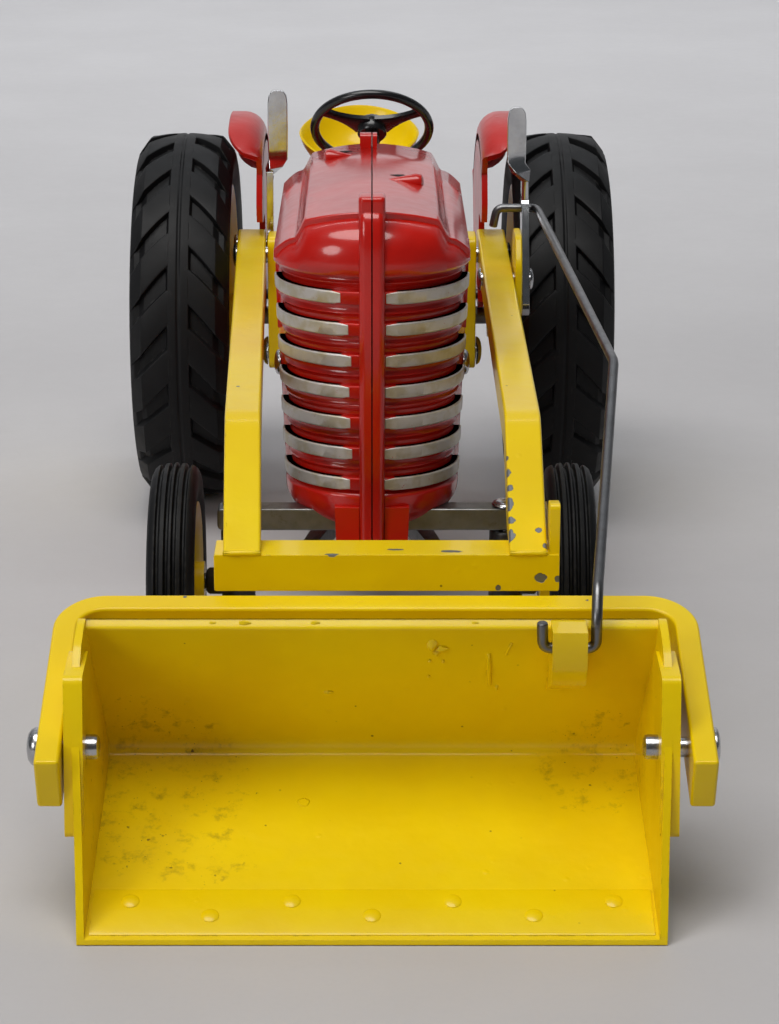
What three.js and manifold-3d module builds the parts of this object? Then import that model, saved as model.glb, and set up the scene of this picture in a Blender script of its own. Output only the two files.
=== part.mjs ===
// Toy farm tractor with a front loader.
// Millimetres, +Z up. Every piece is placed with Y measured from the rear axle, and -Y is forward.
// The whole toy is then moved so that the origin is on the ground in the middle of its footprint.
import * as THREE from 'three';
import { mergeVertices } from 'three/addons/utils/BufferGeometryUtils.js';
import Module from 'manifold-3d';

const wasm = await Module();
wasm.setup();

// ---------------------------------------------------------------- driving dimensions
const GAP = 0.3;                        // clearance between neighbouring pieces
const RUN = 0.1;                        // radial clearance of a pin that something turns on
const LIP_REACH = 258.5;                // rear axle to the bucket's lip
const REAR_TYRE = { radius: 45, width: 23.5, x: 45.25, seat: 31 };
const FRONT_TYRE = { radius: 24, width: 9.5, x: 39.4, seat: 14.5 };
const FRONT_AXLE_Y = -142.3;

const HOOD = { halfWidth: 19.3, crown: 100.5, panel: 13.3, panelZ: 98.5, shoulderZ: 91.4, skirtZ: 74,
               rearY: -70, frontY: -146, cornerY: -139.5 };
const NOSE = { y: -134, depth: 0.93, topRadius: 19.4, bottomRadius: 17.4, topZ: 89.4, bottomZ: 43 };
const BARS = { count: 7, topZ: 84.6, pitch: 6.32, height: 2.6, proud: 1.4 };
const RIB = { halfWidth: 2.45, proud: 1.2 };
const PEDESTAL = { halfWidth: 6.9, bottomZ: 30.4, frontY: -150.5 };

const KINGPIN = { x: 27, radius: 1.5, bottomZ: 17, topZ: 40.3 };
const BEAM = { halfLength: 31, depth: 5, bottomZ: 35.4, topZ: 40 };
const STEER_ARM = { reach: 14.3, bottomZ: 31.2, topZ: 33 };
const STAY = { bottomZ: 26.2, topZ: 30, legWidth: 2.5, apexY: -74, frontY: -147, halfSpread: 12.8 };

const FENDER = { plateX: 26, thickness: 1.4, outerX: 32.8, radius: 52, frontAngle: 118.7, rearAngle: 36 };
const LIFT = { y: -26, z: 66, pinRadius: 2 };
const ARM = { width: 6.7, depth: 7, topZ: 69.5, rearY: -10.5, bendY: -180, bendZ: 69.3, frontY: -209 };
const ARM_X = { left: { rear: -28.9, front: -23 }, right: { rear: 28.6, front: 27.7 } };
const ARM_REAR_Y = -14;                 // where the arms' rear spacing is measured
const MAST = { inner: 21.5, outer: 24.6, halfWidth: 5, bottomZ: 39, topZ: 71, boltZ: 42.5 };
const CROSSBAR = { left: -28, right: 33.2, frontY: -209, rearY: -200.5, bottomZ: 44.9, topZ: 51.7,
                   earTopZ: 61 };
const DRAWBAR = { halfWidth: 6.5, bottomZ: 30.6, topZ: 33.6, step: 0.8, shoulderY: 17 };
const BUCKET_PIVOT = { y: -242.7, z: 29, pinRadius: 1.7 };
const YOKE = { halfWidth: 57, thickness: 4.2, depth: 10, rearY: -209.6, rearZ: 40.4, reach: 9.6,
               cornerRadius: 9 };
const BUCKET = { halfWidth: 47.6, side: 1.3, padX: 51.1, splay: 0.04 };

const ROD_RADIUS = 0.95;
const LINK = { y: 7.4, z: 14.9 };       // lever pivot to rod, and bucket pivot to rod: a parallelogram
const ROD_AT_LEVER = { y: -50, z: 82 };
const LEVER_X = { inner: 33.9, outer: 35.5 };
const LEVER_BRACKET_X = { inner: 32.05, outer: 33.6 };
const ROD_X = { lever: 37.2, corner: 45.6, bucket: 37.8 };
const ROD_CORNER = { y: -166.5, z: 76 };

const SEAT = { x: -3.2, y: 16, z: 79, radius: 14.4, tilt: 12 };
const WHEEL_HUB = { y: -45, z: 99.4, rimRadius: 13, tilt: 45 };

const rearAxleY = (LIP_REACH - REAR_TYRE.radius) / 2;
const axleZ = REAR_TYRE.radius;
const leverPivot = { y: ROD_AT_LEVER.y - LINK.y, z: ROD_AT_LEVER.z - LINK.z };
const rodAtBucket = { y: BUCKET_PIVOT.y + LINK.y, z: BUCKET_PIVOT.z + LINK.z };
const radians = THREE.MathUtils.degToRad;

// ---------------------------------------------------------------- materials
const finish = (color, roughness, metalness) =>
  new THREE.MeshStandardMaterial({ color, roughness, metalness });
const RED = finish(0xb01810, 0.3, 0.1);
const YELLOW = finish(0xe8c400, 0.35, 0.1);
const BLACK_PAINT = finish(0x1a1a1c, 0.4, 0.1);
const RUBBER = finish(0x1e1e20, 0.75, 0);
const PLASTIC = finish(0x101012, 0.3, 0);
const CHROME = finish(0xd8d8d8, 0.12, 1);
const ZINC = finish(0x9a9a98, 0.4, 0.9);
const STEEL = finish(0x6e6e70, 0.4, 0.9);

// ---------------------------------------------------------------- helpers
// A closed, welded geometry whose faces point out.
function welded(geometry) {
  const bare = geometry.clone();
  bare.deleteAttribute('normal');
  bare.deleteAttribute('uv');
  const merged = mergeVertices(bare, 1e-4);
  const position = merged.attributes.position;
  const index = merged.index;
  const corner = [new THREE.Vector3(), new THREE.Vector3(), new THREE.Vector3()];
  let volume = 0;
  for (let i = 0; i < index.count; i += 3) {
    corner.forEach((point, k) => point.fromBufferAttribute(position, index.getX(i + k)));
    volume += corner[0].dot(corner[1].clone().cross(corner[2]));
  }
  if (volume < 0) index.array.reverse();
  return merged;
}

function toSolid(geometry) {
  const mesh = welded(geometry);
  return new wasm.Manifold(new wasm.Mesh({
    numProp: 3,
    vertProperties: new Float32Array(mesh.attributes.position.array),
    triVerts: new Uint32Array(mesh.index.array),
  }));
}

function toGeometry(solid) {
  const mesh = solid.getMesh();
  const geometry = new THREE.BufferGeometry();
  geometry.setAttribute('position', new THREE.BufferAttribute(new Float32Array(mesh.vertProperties), 3));
  geometry.setIndex(new THREE.BufferAttribute(new Uint32Array(mesh.triVerts), 1));
  return geometry;
}

const combine = (action, first, others) =>
  toGeometry(others.reduce((solid, other) => solid[action](toSolid(other)), toSolid(first)));
const join = (first, ...others) => combine('add', first, others);
const cut = (first, ...others) => combine('subtract', first, others);
const overlap = (first, ...others) => combine('intersect', first, others);

function outline(points) {
  return new THREE.Shape(points.map(([x, y]) => new THREE.Vector2(x, y)));
}

function extrude(shape, depth) {
  return new THREE.ExtrudeGeometry(shape, { depth, bevelEnabled: false, curveSegments: 3 });
}

const AXIS_X = new THREE.Vector3(1, 0, 0);
const AXIS_Y = new THREE.Vector3(0, 1, 0);
const AXIS_Z = new THREE.Vector3(0, 0, 1);

// A side view, drawn in Y and Z, given thickness from x0 to x1.
function sideways(shape, x0, x1) {
  const basis = new THREE.Matrix4().makeBasis(AXIS_Y, AXIS_Z, AXIS_X);
  return extrude(shape, x1 - x0).applyMatrix4(basis).translate(x0, 0, 0);
}

// A front view, drawn in X and Z, given thickness from y0 to y1.
function lengthways(shape, y0, y1) {
  const basis = new THREE.Matrix4().makeBasis(AXIS_X, AXIS_Z, AXIS_Y.clone().negate());
  return extrude(shape, y1 - y0).applyMatrix4(basis).translate(0, y1, 0);
}

// A plan, drawn in X and Y, given thickness from z0 to z1.
const upright = (shape, z0, z1) => extrude(shape, z1 - z0).translate(0, 0, z0);

function box(x0, x1, y0, y1, z0, z1) {
  const geometry = new THREE.BoxGeometry(x1 - x0, y1 - y0, z1 - z0);
  return geometry.translate((x0 + x1) / 2, (y0 + y1) / 2, (z0 + z1) / 2);
}

// A round bar along X, Y or Z from one end to the other.
function bar(radius, from, to, segments = 12) {
  const a = new THREE.Vector3(...from);
  const b = new THREE.Vector3(...to);
  const turn = new THREE.Quaternion().setFromUnitVectors(AXIS_Y, b.clone().sub(a).normalize());
  const geometry = new THREE.CylinderGeometry(radius, radius, a.distanceTo(b), segments);
  return geometry.applyQuaternion(turn).translate(...a.add(b).divideScalar(2).toArray());
}

// A body of revolution about the X axis; the profile is [radius, x] pairs.
function turned(profile, segments = 18) {
  const points = profile.map(([radius, x]) => new THREE.Vector2(radius, x));
  return new THREE.LatheGeometry(points, segments).rotateZ(-Math.PI / 2);
}

// A rivet along X: a shank with a low domed head outside each of its grip faces, or outside one only.
function rivet(radius, headRadius, headHeight, x0, x1, y, z, heads = 'both') {
  const dome = (x, side) => [[headRadius, x], [headRadius * 0.8, x + 0.7 * side], [0, x + side]];
  const low = heads === 'high' ? [[0, x0]] : dome(x0, -headHeight).reverse();
  const high = heads === 'low' ? [[0, x1]] : dome(x1, headHeight);
  return turned([...low, [radius, x0], [radius, x1], ...high], 10).translate(0, y, z);
}

function roundedRectangle(x0, x1, y0, y1, r) {
  const shape = new THREE.Shape();
  shape.absarc(x1 - r, y1 - r, r, 0, Math.PI / 2);
  shape.absarc(x0 + r, y1 - r, r, Math.PI / 2, Math.PI);
  shape.absarc(x0 + r, y0 + r, r, Math.PI, 1.5 * Math.PI);
  shape.absarc(x1 - r, y0 + r, r, 1.5 * Math.PI, 2 * Math.PI);
  return shape;
}

const toy = new THREE.Group();
toy.position.y = rearAxleY;

function add(name, geometry, material, parent = toy) {
  const mesh = new THREE.Mesh(welded(geometry), material);
  mesh.name = name;
  parent.add(mesh);
  return mesh;
}

const SIDES = [['left', -1], ['right', 1]];

// ---------------------------------------------------------------- body castings
// The hood's cross-section: raised panel, ogee step, lower shoulders and sides. inset shrinks it.
function hoodSection(inset, bottomZ) {
  const half = HOOD.halfWidth - inset;
  const panel = HOOD.panel - inset;
  const shape = new THREE.Shape();
  shape.moveTo(-half, bottomZ);
  shape.lineTo(half, bottomZ);
  shape.lineTo(half, HOOD.shoulderZ - inset);
  shape.bezierCurveTo(half - 4, 94 - inset, panel + 1.5, 93.5 - inset, panel, HOOD.panelZ - inset);
  shape.quadraticCurveTo(0, 2 * HOOD.crown - HOOD.panelZ - inset, -panel, HOOD.panelZ - inset);
  shape.bezierCurveTo(-panel - 1.5, 93.5 - inset, -half + 4, 94 - inset, -half, HOOD.shoulderZ - inset);
  return shape;
}

// The hood's top view: square at the back, bowed forward at the front.
function hoodPlan() {
  const shape = new THREE.Shape();
  const side = HOOD.halfWidth + 1;
  shape.moveTo(side, HOOD.rearY);
  shape.lineTo(-side, HOOD.rearY);
  shape.lineTo(-side, HOOD.cornerY);
  shape.quadraticCurveTo(0, 2 * HOOD.frontY - HOOD.cornerY, side, HOOD.cornerY);
  return shape;
}

// Half of the nose's outline from the bottom to the top, with the grille bars standing proud.
function noseProfile() {
  const { bottomZ, topZ, bottomRadius, topRadius } = NOSE;
  const radiusAt = (z) => THREE.MathUtils.mapLinear(z, bottomZ, topZ, bottomRadius, topRadius);
  const points = [[0, 34.5], [8, 35], [13.5, 37.5], [16.3, 40.5], [radiusAt(NOSE.bottomZ), NOSE.bottomZ]];
  for (let i = BARS.count - 1; i >= 0; i -= 1) {
    const z = BARS.topZ - i * BARS.pitch;
    const low = z - BARS.height / 2;
    const high = z + BARS.height / 2;
    points.push([radiusAt(low) - BARS.proud, low - 0.01], [radiusAt(low), low]);
    points.push([radiusAt(high), high], [radiusAt(high) - BARS.proud, high + 0.01]);
  }
  points.push([NOSE.topRadius - BARS.proud, NOSE.topZ - 0.2], [NOSE.topRadius, NOSE.topZ]);
  points.push([19.9, 92], [19.2, 95], [17, 98], [12.9, 100.4], [0, 100.6]);
  return points.map(([radius, z]) => new THREE.Vector2(radius, z));
}

function nose() {
  const spun = new THREE.LatheGeometry(noseProfile(), 16).rotateX(Math.PI / 2);
  spun.scale(1, NOSE.depth, 1).translate(0, NOSE.y, 0);
  const shell = overlap(spun, lengthways(hoodSection(0.5, 30), -160, NOSE.y));
  const front = NOSE.y - NOSE.depth * NOSE.topRadius - RIB.proud;
  const rib = sideways(outline([
    [NOSE.y, 34], [front + 2.5, 34], [front + 0.9, 44], [front, NOSE.topZ], [front + 0.4, 95],
    [front + 3, 100.6], [front + 3, 104.4], [front + 8, 104.4], [front + 8, 98], [NOSE.y, 98],
  ]), -RIB.halfWidth, RIB.halfWidth);
  return join(shell, rib);
}

function radiatorShell() {
  const shape = new THREE.Shape();
  shape.moveTo(-12, 36);
  shape.lineTo(12, 36);
  shape.quadraticCurveTo(16.4, 37, 17.2, 43);
  shape.lineTo(HOOD.halfWidth - 0.4, 92);
  shape.lineTo(-HOOD.halfWidth + 0.4, 92);
  shape.lineTo(-17.2, 43);
  shape.quadraticCurveTo(-16.4, 37, -12, 36);
  return lengthways(shape, NOSE.y - 0.01, -120);
}

function bodySolid() {
  const hoodBar = lengthways(hoodSection(0, HOOD.skirtZ), -150, HOOD.rearY);
  const hood = overlap(hoodBar, upright(hoodPlan(), 60, 110));
  const pedestal = box(-PEDESTAL.halfWidth, PEDESTAL.halfWidth, PEDESTAL.frontY, -132, PEDESTAL.bottomZ, 40);
  const engine = lengthways(outline([
    [-7, 36], [7, 36], [12.5, 42], [13.5, 76], [-13.5, 76], [-12.5, 42],
  ]), -120.5, -66);
  const gearbox = lengthways(outline([
    [-9, 35], [9, 35], [14.5, 41], [15.5, 60], [10, 69], [-10, 69], [-15.5, 60], [-14.5, 41],
  ]), -66.5, -30);
  const rearHousing = lengthways(outline([
    [-13, 34], [13, 34], [18, 39], [18.5, 56], [13, 66], [-13, 66], [-18.5, 56], [-18, 39],
  ]), -34, 15);
  const axleTubes = bar(10, [-25.6, 0, axleZ], [25.6, 0, axleZ], 28);
  const mastPads = box(-MAST.inner + GAP, MAST.inner - GAP, LIFT.y - MAST.halfWidth, LIFT.y + MAST.halfWidth,
    38.5, 58);
  const stayBoss = box(-4, 4, -80, -70, STAY.topZ + GAP, 37);
  const capPost = bar(1.9, [-1, -75.5, 99], [-1, -75.5, 104], 14);
  const bumps = [[1, 10.5, -112], [-10.5, -2, -84]].map(([x0, x1, y]) =>
    box(x0, x1, y - 1.6, y + 1.6, 99, 102.2));
  return join(nose(), radiatorShell(), hood, pedestal, engine, gearbox, rearHousing, axleTubes, mastPads,
    stayBoss, capPost, ...bumps);
}

const BODY_RIVETS = [
  { y: -128, z: 66, grip: 18.4 },
  { y: -84, z: 62, grip: 13.6 },
  { y: -14.2, z: 48, grip: 18.7 },
];

function addBody() {
  const slots = [
    box(-40, 40, FRONT_AXLE_Y - BEAM.depth / 2 - GAP, FRONT_AXLE_Y + BEAM.depth / 2 + GAP,
      BEAM.bottomZ - GAP, BEAM.topZ + GAP),
    bar(2.5, [-40, 0, axleZ], [40, 0, axleZ]),
    bar(2.1, [-40, LIFT.y, MAST.boltZ], [40, LIFT.y, MAST.boltZ]),
    bar(1.9, [0, -62, 82.4], [0, -78, 66.4]),
    bar(1.5, [0, -143, 20], [0, -143, 34.9]),
    bar(1.5, [0, -76, 20], [0, -76, 35.5]),
    bar(1.5, [0, 8, 20], [0, 8, 41]),
    bar(1.5, [SEAT.x, -8, 58], [SEAT.x, -8, 80]),
    ...BODY_RIVETS.map(({ y, z }) => bar(1.8, [-40, y, z], [40, y, z])),
    ...SIDES.map(([, side]) => bar(1.5, [side * 19, -3, 51], [side * 40, -3, 51])),
  ];
  const whole = cut(bodySolid(), ...slots);
  add('body_left', cut(whole, box(-GAP / 2, 60, -200, 60, 0, 140)), RED);
  add('body_right', cut(whole, box(-60, GAP / 2, -200, 60, 0, 140)), RED);
  BODY_RIVETS.forEach(({ y, z, grip }, i) =>
    add(`body_rivet_${i + 1}`, rivet(1.5, 2.6, 1.1, -grip - GAP, grip + GAP, y, z), STEEL));
}

// ---------------------------------------------------------------- front axle and steering
function knuckle(side) {
  const x = side * KINGPIN.x;
  const z = FRONT_TYRE.radius;
  const sleeve = bar(3.4, [x, FRONT_AXLE_Y, 18], [x, FRONT_AXLE_Y, BEAM.bottomZ - GAP]);
  const stub = bar(2.7, [x, FRONT_AXLE_Y, z], [side * 33.4, FRONT_AXLE_Y, z]);
  const spindle = bar(1.6, [x, FRONT_AXLE_Y, z], [side * 43.7, FRONT_AXLE_Y, z]);
  const endY = FRONT_AXLE_Y + STEER_ARM.reach;
  const arm = upright(roundedRectangle(x - 2.4, x + 2.4, FRONT_AXLE_Y - 1, endY + 2.4, 2.3),
    STEER_ARM.bottomZ, STEER_ARM.topZ);
  const kingpinBore = bar(KINGPIN.radius + RUN, [x, FRONT_AXLE_Y, 0], [x, FRONT_AXLE_Y, 50]);
  const pinBore = bar(1.2, [x, endY, 20], [x, endY, 40], 14);
  return cut(join(sleeve, stub, spindle, arm), kingpinBore, pinBore);
}

// A rivet or screw along Z, domed outside its grip.
function uprightRivet(radius, headRadius, x, y, z0, z1, heads = 'both') {
  return rivet(radius, headRadius, 0.9, z0, z1, 0, 0, heads).rotateY(-Math.PI / 2).translate(x, y, 0);
}

function addFrontAxle() {
  const halfDepth = BEAM.depth / 2;
  const beamBar = box(-BEAM.halfLength, BEAM.halfLength, FRONT_AXLE_Y - halfDepth, FRONT_AXLE_Y + halfDepth,
    BEAM.bottomZ, BEAM.topZ);
  const bores = SIDES.map(([, side]) =>
    bar(KINGPIN.radius + GAP, [side * KINGPIN.x, FRONT_AXLE_Y, 30], [side * KINGPIN.x, FRONT_AXLE_Y, 45]));
  add('front_axle_beam', cut(beamBar, ...bores), ZINC);
  const endY = FRONT_AXLE_Y + STEER_ARM.reach;
  for (const [name, side] of SIDES) {
    add(`kingpin_${name}`, uprightRivet(KINGPIN.radius, 3, side * KINGPIN.x, FRONT_AXLE_Y,
      KINGPIN.bottomZ, KINGPIN.topZ), ZINC);
    add(`knuckle_${name}`, knuckle(side), BLACK_PAINT);
    add(`tie_rod_pin_${name}`, uprightRivet(0.9, 1.9, side * KINGPIN.x, endY,
      STEER_ARM.bottomZ - GAP, STEER_ARM.topZ + 2.4), STEEL);
  }
  const strap = upright(roundedRectangle(-KINGPIN.x - 2.6, KINGPIN.x + 2.6, endY - 2.3, endY + 2.3, 2.2),
    STEER_ARM.topZ + GAP, STEER_ARM.topZ + 2.1);
  const eyes = SIDES.map(([, side]) =>
    bar(1, [side * KINGPIN.x, endY, 30], [side * KINGPIN.x, endY, 40], 14));
  add('tie_rod', cut(strap, ...eyes), STEEL);
}

function addFrontStay() {
  const { halfSpread: w, legWidth: t } = STAY;
  const crossY = STAY.frontY + 7;
  const shape = outline([
    [0, STAY.apexY], [-4, STAY.apexY], [-w - t, crossY], [-w - t, STAY.frontY], [w + t, STAY.frontY],
    [w + t, crossY], [4, STAY.apexY],
  ]);
  const opening = outline([[0, STAY.apexY - 16], [-w, crossY], [w, crossY]]);
  const plate = cut(upright(shape, STAY.bottomZ, STAY.topZ), upright(opening, 0, 60),
    bar(1.6, [0, -143, 0], [0, -143, 60]), bar(1.6, [0, -76, 0], [0, -76, 60]));
  add('front_stay', plate, STEEL);
  for (const [name, y] of [['front', -143], ['rear', -76]]) {
    add(`stay_screw_${name}`, uprightRivet(1.2, 2.6, 0, y, STAY.bottomZ - GAP, 34.4, 'low'), STEEL);
  }
}

// ---------------------------------------------------------------- wheels
// A tyre's section: a flat bead inside, bulging side walls and a crowned tread with round shoulders.
function tyreProfile({ radius, width, seat }, shoulder) {
  const half = width / 2;
  const inner = seat + GAP;
  return [
    [inner, -half * 0.72], [inner + 3, -half * 0.86], [radius - shoulder * 1.6, -half],
    [radius - shoulder * 0.55, -half + shoulder * 0.35], [radius - 0.3, -half + shoulder],
    [radius, 0],
    [radius - 0.3, half - shoulder], [radius - shoulder * 0.55, half - shoulder * 0.35],
    [radius - shoulder * 1.6, half], [inner + 3, half * 0.86], [inner, half * 0.72],
    [inner, -half * 0.72],
  ];
}

// A pressed disc wheel: hub boss on the axle, dished disc and a rim that carries the tyre.
// Profiles run from the tractor side outwards for the right-hand wheel.
function discWheel(tyre, hubRadius, boreRadius, boss) {
  const half = tyre.width / 2;
  const seat = tyre.seat;
  return turned([
    [boreRadius, boss.inner], [hubRadius, boss.inner], [hubRadius, -1.6], [seat - 5, 1.2],
    [seat - 3.2, -half * 0.66], [seat + 1.6, -half * 0.92], [seat + 1.6, -half * 0.8],
    [seat, -half * 0.66], [seat, half * 0.66],
    [seat + 1.6, half * 0.8], [seat + 1.6, half * 0.92], [seat - 3.2, half * 0.66], [seat - 5, 3.2],
    [hubRadius, 1.2], [hubRadius, boss.outer], [boreRadius, boss.outer], [boreRadius, boss.inner],
  ], 16);
}

function addWheels() {
  const seatedOn = (tyre) => ({ ...tyre, seat: tyre.seat + 1.6 });
  for (const [name, side] of SIDES) {
    const rear = new THREE.Group();
    rear.position.set(side * REAR_TYRE.x, 0, axleZ);
    const front = new THREE.Group();
    front.position.set(side * FRONT_TYRE.x, FRONT_AXLE_Y, FRONT_TYRE.radius);
    toy.add(rear, front);
    const outward = (geometry) => (side > 0 ? geometry : geometry.rotateZ(Math.PI));
    add(`rear_tyre_${name}`, turned(tyreProfile(seatedOn(REAR_TYRE), 4.5), 28), RUBBER, rear);
    add(`rear_wheel_${name}`, outward(discWheel(REAR_TYRE, 5.4, 2.2 + RUN, { inner: -16.7, outer: 9.6 })),
      YELLOW, rear);
    add(`front_tyre_${name}`, turned(tyreProfile(seatedOn(FRONT_TYRE), 2.6), 20), RUBBER, front);
    add(`front_wheel_${name}`, outward(discWheel(FRONT_TYRE, 4, 1.6 + RUN, { inner: -5.6, outer: 4.4 })),
      YELLOW, front);
    add(`front_cap_${name}`, outward(turned([[0, 4.7], [2.9, 4.7], [2.4, 5.7], [0, 6.1]], 20)), ZINC, front);
  }
  add('rear_axle', rivet(2.2, 4, 1.3, -55.2, 55.2, 0, axleZ), ZINC);
}

// ---------------------------------------------------------------- fenders, seat and controls
function fender(side) {
  const start = radians(FENDER.rearAngle);
  const end = radians(FENDER.frontAngle);
  const arc = (radius, angle) => [radius * Math.cos(angle), axleZ + radius * Math.sin(angle)];
  const rearTip = arc(FENDER.radius, start);
  const plate = new THREE.Shape();
  plate.moveTo(...rearTip);
  plate.absarc(0, axleZ, FENDER.radius, start, end);
  plate.lineTo(-25, 76);
  plate.quadraticCurveTo(-24, 73, -18, 72.5);
  plate.lineTo(-7, 72.5);
  plate.lineTo(-7, 48);
  plate.lineTo(12, 48);
  plate.lineTo(26, 58);
  plate.closePath();
  const flange = new THREE.Shape();
  flange.absarc(0, axleZ, FENDER.radius, start, end);
  flange.absarc(0, axleZ, FENDER.radius - FENDER.thickness, end, start, true);
  flange.closePath();
  const x0 = FENDER.plateX;
  const pressed = join(sideways(plate, x0, x0 + FENDER.thickness), sideways(flange, x0, FENDER.outerX));
  const bored = cut(pressed, bar(1.5, [0, -3, 51], [40, -3, 51]), bar(2.6, [0, 0, axleZ], [40, 0, axleZ]));
  return side > 0 ? bored : bored.scale(-1, 1, 1);
}

function addFenders() {
  for (const [name, side] of SIDES) {
    add(`fender_${name}`, fender(side), RED);
    const outer = FENDER.plateX + FENDER.thickness + GAP;
    const screw = rivet(1.2, 2, 0.5, 20, outer, -3, 51, 'high');
    add(`fender_screw_${name}`, side > 0 ? screw : screw.scale(-1, 1, 1), STEEL);
  }
}

// A pressed pan whose back edge sweeps up, on a bent strip from the rear housing.
function addSeat() {
  const dish = [
    [0, 0], [8, 0.4], [12.3, 2.4], [SEAT.radius, 5.6], [SEAT.radius, 6.8], [11.4, 3.6], [7.5, 1.7], [0, 1.3],
  ];
  const pan = new THREE.LatheGeometry(dish.map(([r, z]) => new THREE.Vector2(r, z)), 20).rotateX(Math.PI / 2);
  pan.scale(1.02, 0.95, 1);
  const position = pan.attributes.position;
  for (let i = 0; i < position.count; i += 1) {
    position.setZ(i, position.getZ(i) + 0.022 * Math.max(0, position.getY(i)) ** 2);
  }
  const seat = new THREE.Group();
  seat.position.set(SEAT.x, SEAT.y, SEAT.z);
  seat.rotation.x = radians(SEAT.tilt);
  toy.add(seat);
  add('seat_pan', cut(pan, bar(1.4, [0, 0, -5], [0, 0, 5])), YELLOW, seat);
  add('seat_screw', uprightRivet(1.1, 2.2, 0, 0, -2.1, 1.7), STEEL, seat);
  const rise = Math.tan(radians(SEAT.tilt));
  const under = (y) => SEAT.z + (y - SEAT.y) * rise - GAP;
  const side = outline([
    [-12, 66.3], [-3, 66.3], [1, 68.5], [7, 75], [9, under(9) - 1.4], [22, under(22) - 1.4], [22, under(22)],
    [8, under(8)], [5.6, 76], [-0.2, 69.6], [-3.6, 67.7], [-12, 67.7],
  ]);
  const strip = sideways(side, SEAT.x - 3.5, SEAT.x + 3.5);
  const tilt = radians(SEAT.tilt);
  const along = (s) => [SEAT.x, SEAT.y - s * Math.sin(tilt), SEAT.z + s * Math.cos(tilt)];
  add('seat_strip', cut(strip, bar(1.4, along(-6), along(6)), bar(1.5, [SEAT.x, -8, 60], [SEAT.x, -8, 80])),
    BLACK_PAINT);
  add('seat_strip_screw', uprightRivet(1.2, 2.6, SEAT.x, -8, 59, 68, 'high'), STEEL);
}

function addSteering() {
  const hub = new THREE.Group();
  hub.position.set(0, WHEEL_HUB.y, WHEEL_HUB.z);
  hub.rotation.x = -radians(WHEEL_HUB.tilt);
  toy.add(hub);
  add('steering_column', bar(1.6, [0, 0, -41], [0, 0, 3.2]), BLACK_PAINT, hub);
  const rim = new THREE.TorusGeometry(WHEEL_HUB.rimRadius, 1.05, 6, 24);
  const spokes = [30, 150, 270].map((angle) => {
    const tip = new THREE.Vector2(WHEEL_HUB.rimRadius, 0).rotateAround(new THREE.Vector2(), -radians(angle));
    return bar(1, [0, 0, 0], [tip.x, tip.y, 0], 10);
  });
  const boss = bar(3.2, [0, 0, -2], [0, 0, 2], 20);
  add('steering_wheel', cut(join(rim, boss, ...spokes), bar(1.6 + RUN, [0, 0, -9], [0, 0, 9])), PLASTIC, hub);
}

// The tongue's top face lies clear behind the housing; the part under the housing is a little thinner.
function addDrawbar() {
  const { halfWidth, bottomZ, topZ, step } = DRAWBAR;
  const plate = upright(roundedRectangle(-halfWidth, halfWidth, -2, 40, 4), bottomZ, topZ);
  const relief = box(-halfWidth - 1, halfWidth + 1, -3, DRAWBAR.shoulderY, topZ - step, topZ + 1);
  const bores = [bar(2.2, [0, 34.5, 20], [0, 34.5, 40]), bar(1.5, [0, 8, 20], [0, 8, 40])];
  add('drawbar', cut(plate, relief, ...bores), STEEL);
  add('drawbar_screw', uprightRivet(1.2, 2.8, 0, 8, 30.3, 40, 'low'), STEEL);
}

// ---------------------------------------------------------------- masts and loader frame
function addMasts() {
  for (const [name, side] of SIDES) {
    const { halfWidth, bottomZ, topZ } = MAST;
    const shape = roundedRectangle(LIFT.y - halfWidth, LIFT.y + halfWidth, bottomZ, topZ, 2.5);
    const bores = [bar(LIFT.pinRadius + GAP, [0, LIFT.y, LIFT.z], [40, LIFT.y, LIFT.z]),
      bar(2.1, [0, LIFT.y, MAST.boltZ], [40, LIFT.y, MAST.boltZ])];
    const mast = cut(sideways(shape, MAST.inner, MAST.outer), ...bores);
    add(`mast_${name}`, side > 0 ? mast : mast.scale(-1, 1, 1), YELLOW);
    const pin = rivet(LIFT.pinRadius, 3, 0.9, MAST.inner - GAP, 32.2, LIFT.y, LIFT.z);
    add(`lift_pin_${name}`, side > 0 ? pin : pin.scale(-1, 1, 1), STEEL);
  }
  add('mast_bolt', rivet(1.8, 3.4, 1.4, -MAST.outer - GAP, MAST.outer + GAP, LIFT.y, MAST.boltZ), STEEL);
}

// One loader arm: level from behind the lift pivot to the bend, then down to the crossbar's top face.
function loaderArm(place, bores) {
  const fall = Math.atan2(ARM.bendZ - CROSSBAR.topZ, ARM.bendY - ARM.frontY);
  const low = CROSSBAR.topZ + GAP;
  const under = ARM.topZ - ARM.depth;
  const drop = ARM.depth / Math.cos(fall);
  const tipY = (z) => ARM.bendY - (ARM.bendZ - z) / Math.tan(fall);
  const shape = new THREE.Shape();
  shape.moveTo(ARM.rearY - 3.5, under);
  shape.absarc(ARM.rearY - 3.5, under + ARM.depth / 2, ARM.depth / 2, -Math.PI / 2, Math.PI / 2);
  shape.lineTo(ARM.bendY + 3, ARM.bendZ + 0.1);
  shape.quadraticCurveTo(ARM.bendY, ARM.bendZ, ARM.bendY - 2.5, ARM.bendZ - 2.5 * Math.tan(fall));
  shape.lineTo(tipY(low), low);
  shape.lineTo(tipY(low + drop), low);
  shape.lineTo(ARM.bendY + 1.9, under);
  shape.closePath();
  const { rear, front } = ARM_X[place];
  const arm = sideways(shape, -ARM.width / 2, ARM.width / 2);
  const position = arm.attributes.position;
  for (let i = 0; i < position.count; i += 1) {
    const x = THREE.MathUtils.mapLinear(position.getY(i), ARM_REAR_Y, ARM.frontY, rear, front);
    position.setX(i, position.getX(i) + x);
  }
  const side = Math.sign(rear);
  const pinBore = bar(LIFT.pinRadius + RUN, [side * 15, LIFT.y, LIFT.z], [side * 45, LIFT.y, LIFT.z], 24);
  return cut(arm, pinBore, ...bores);
}

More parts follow.
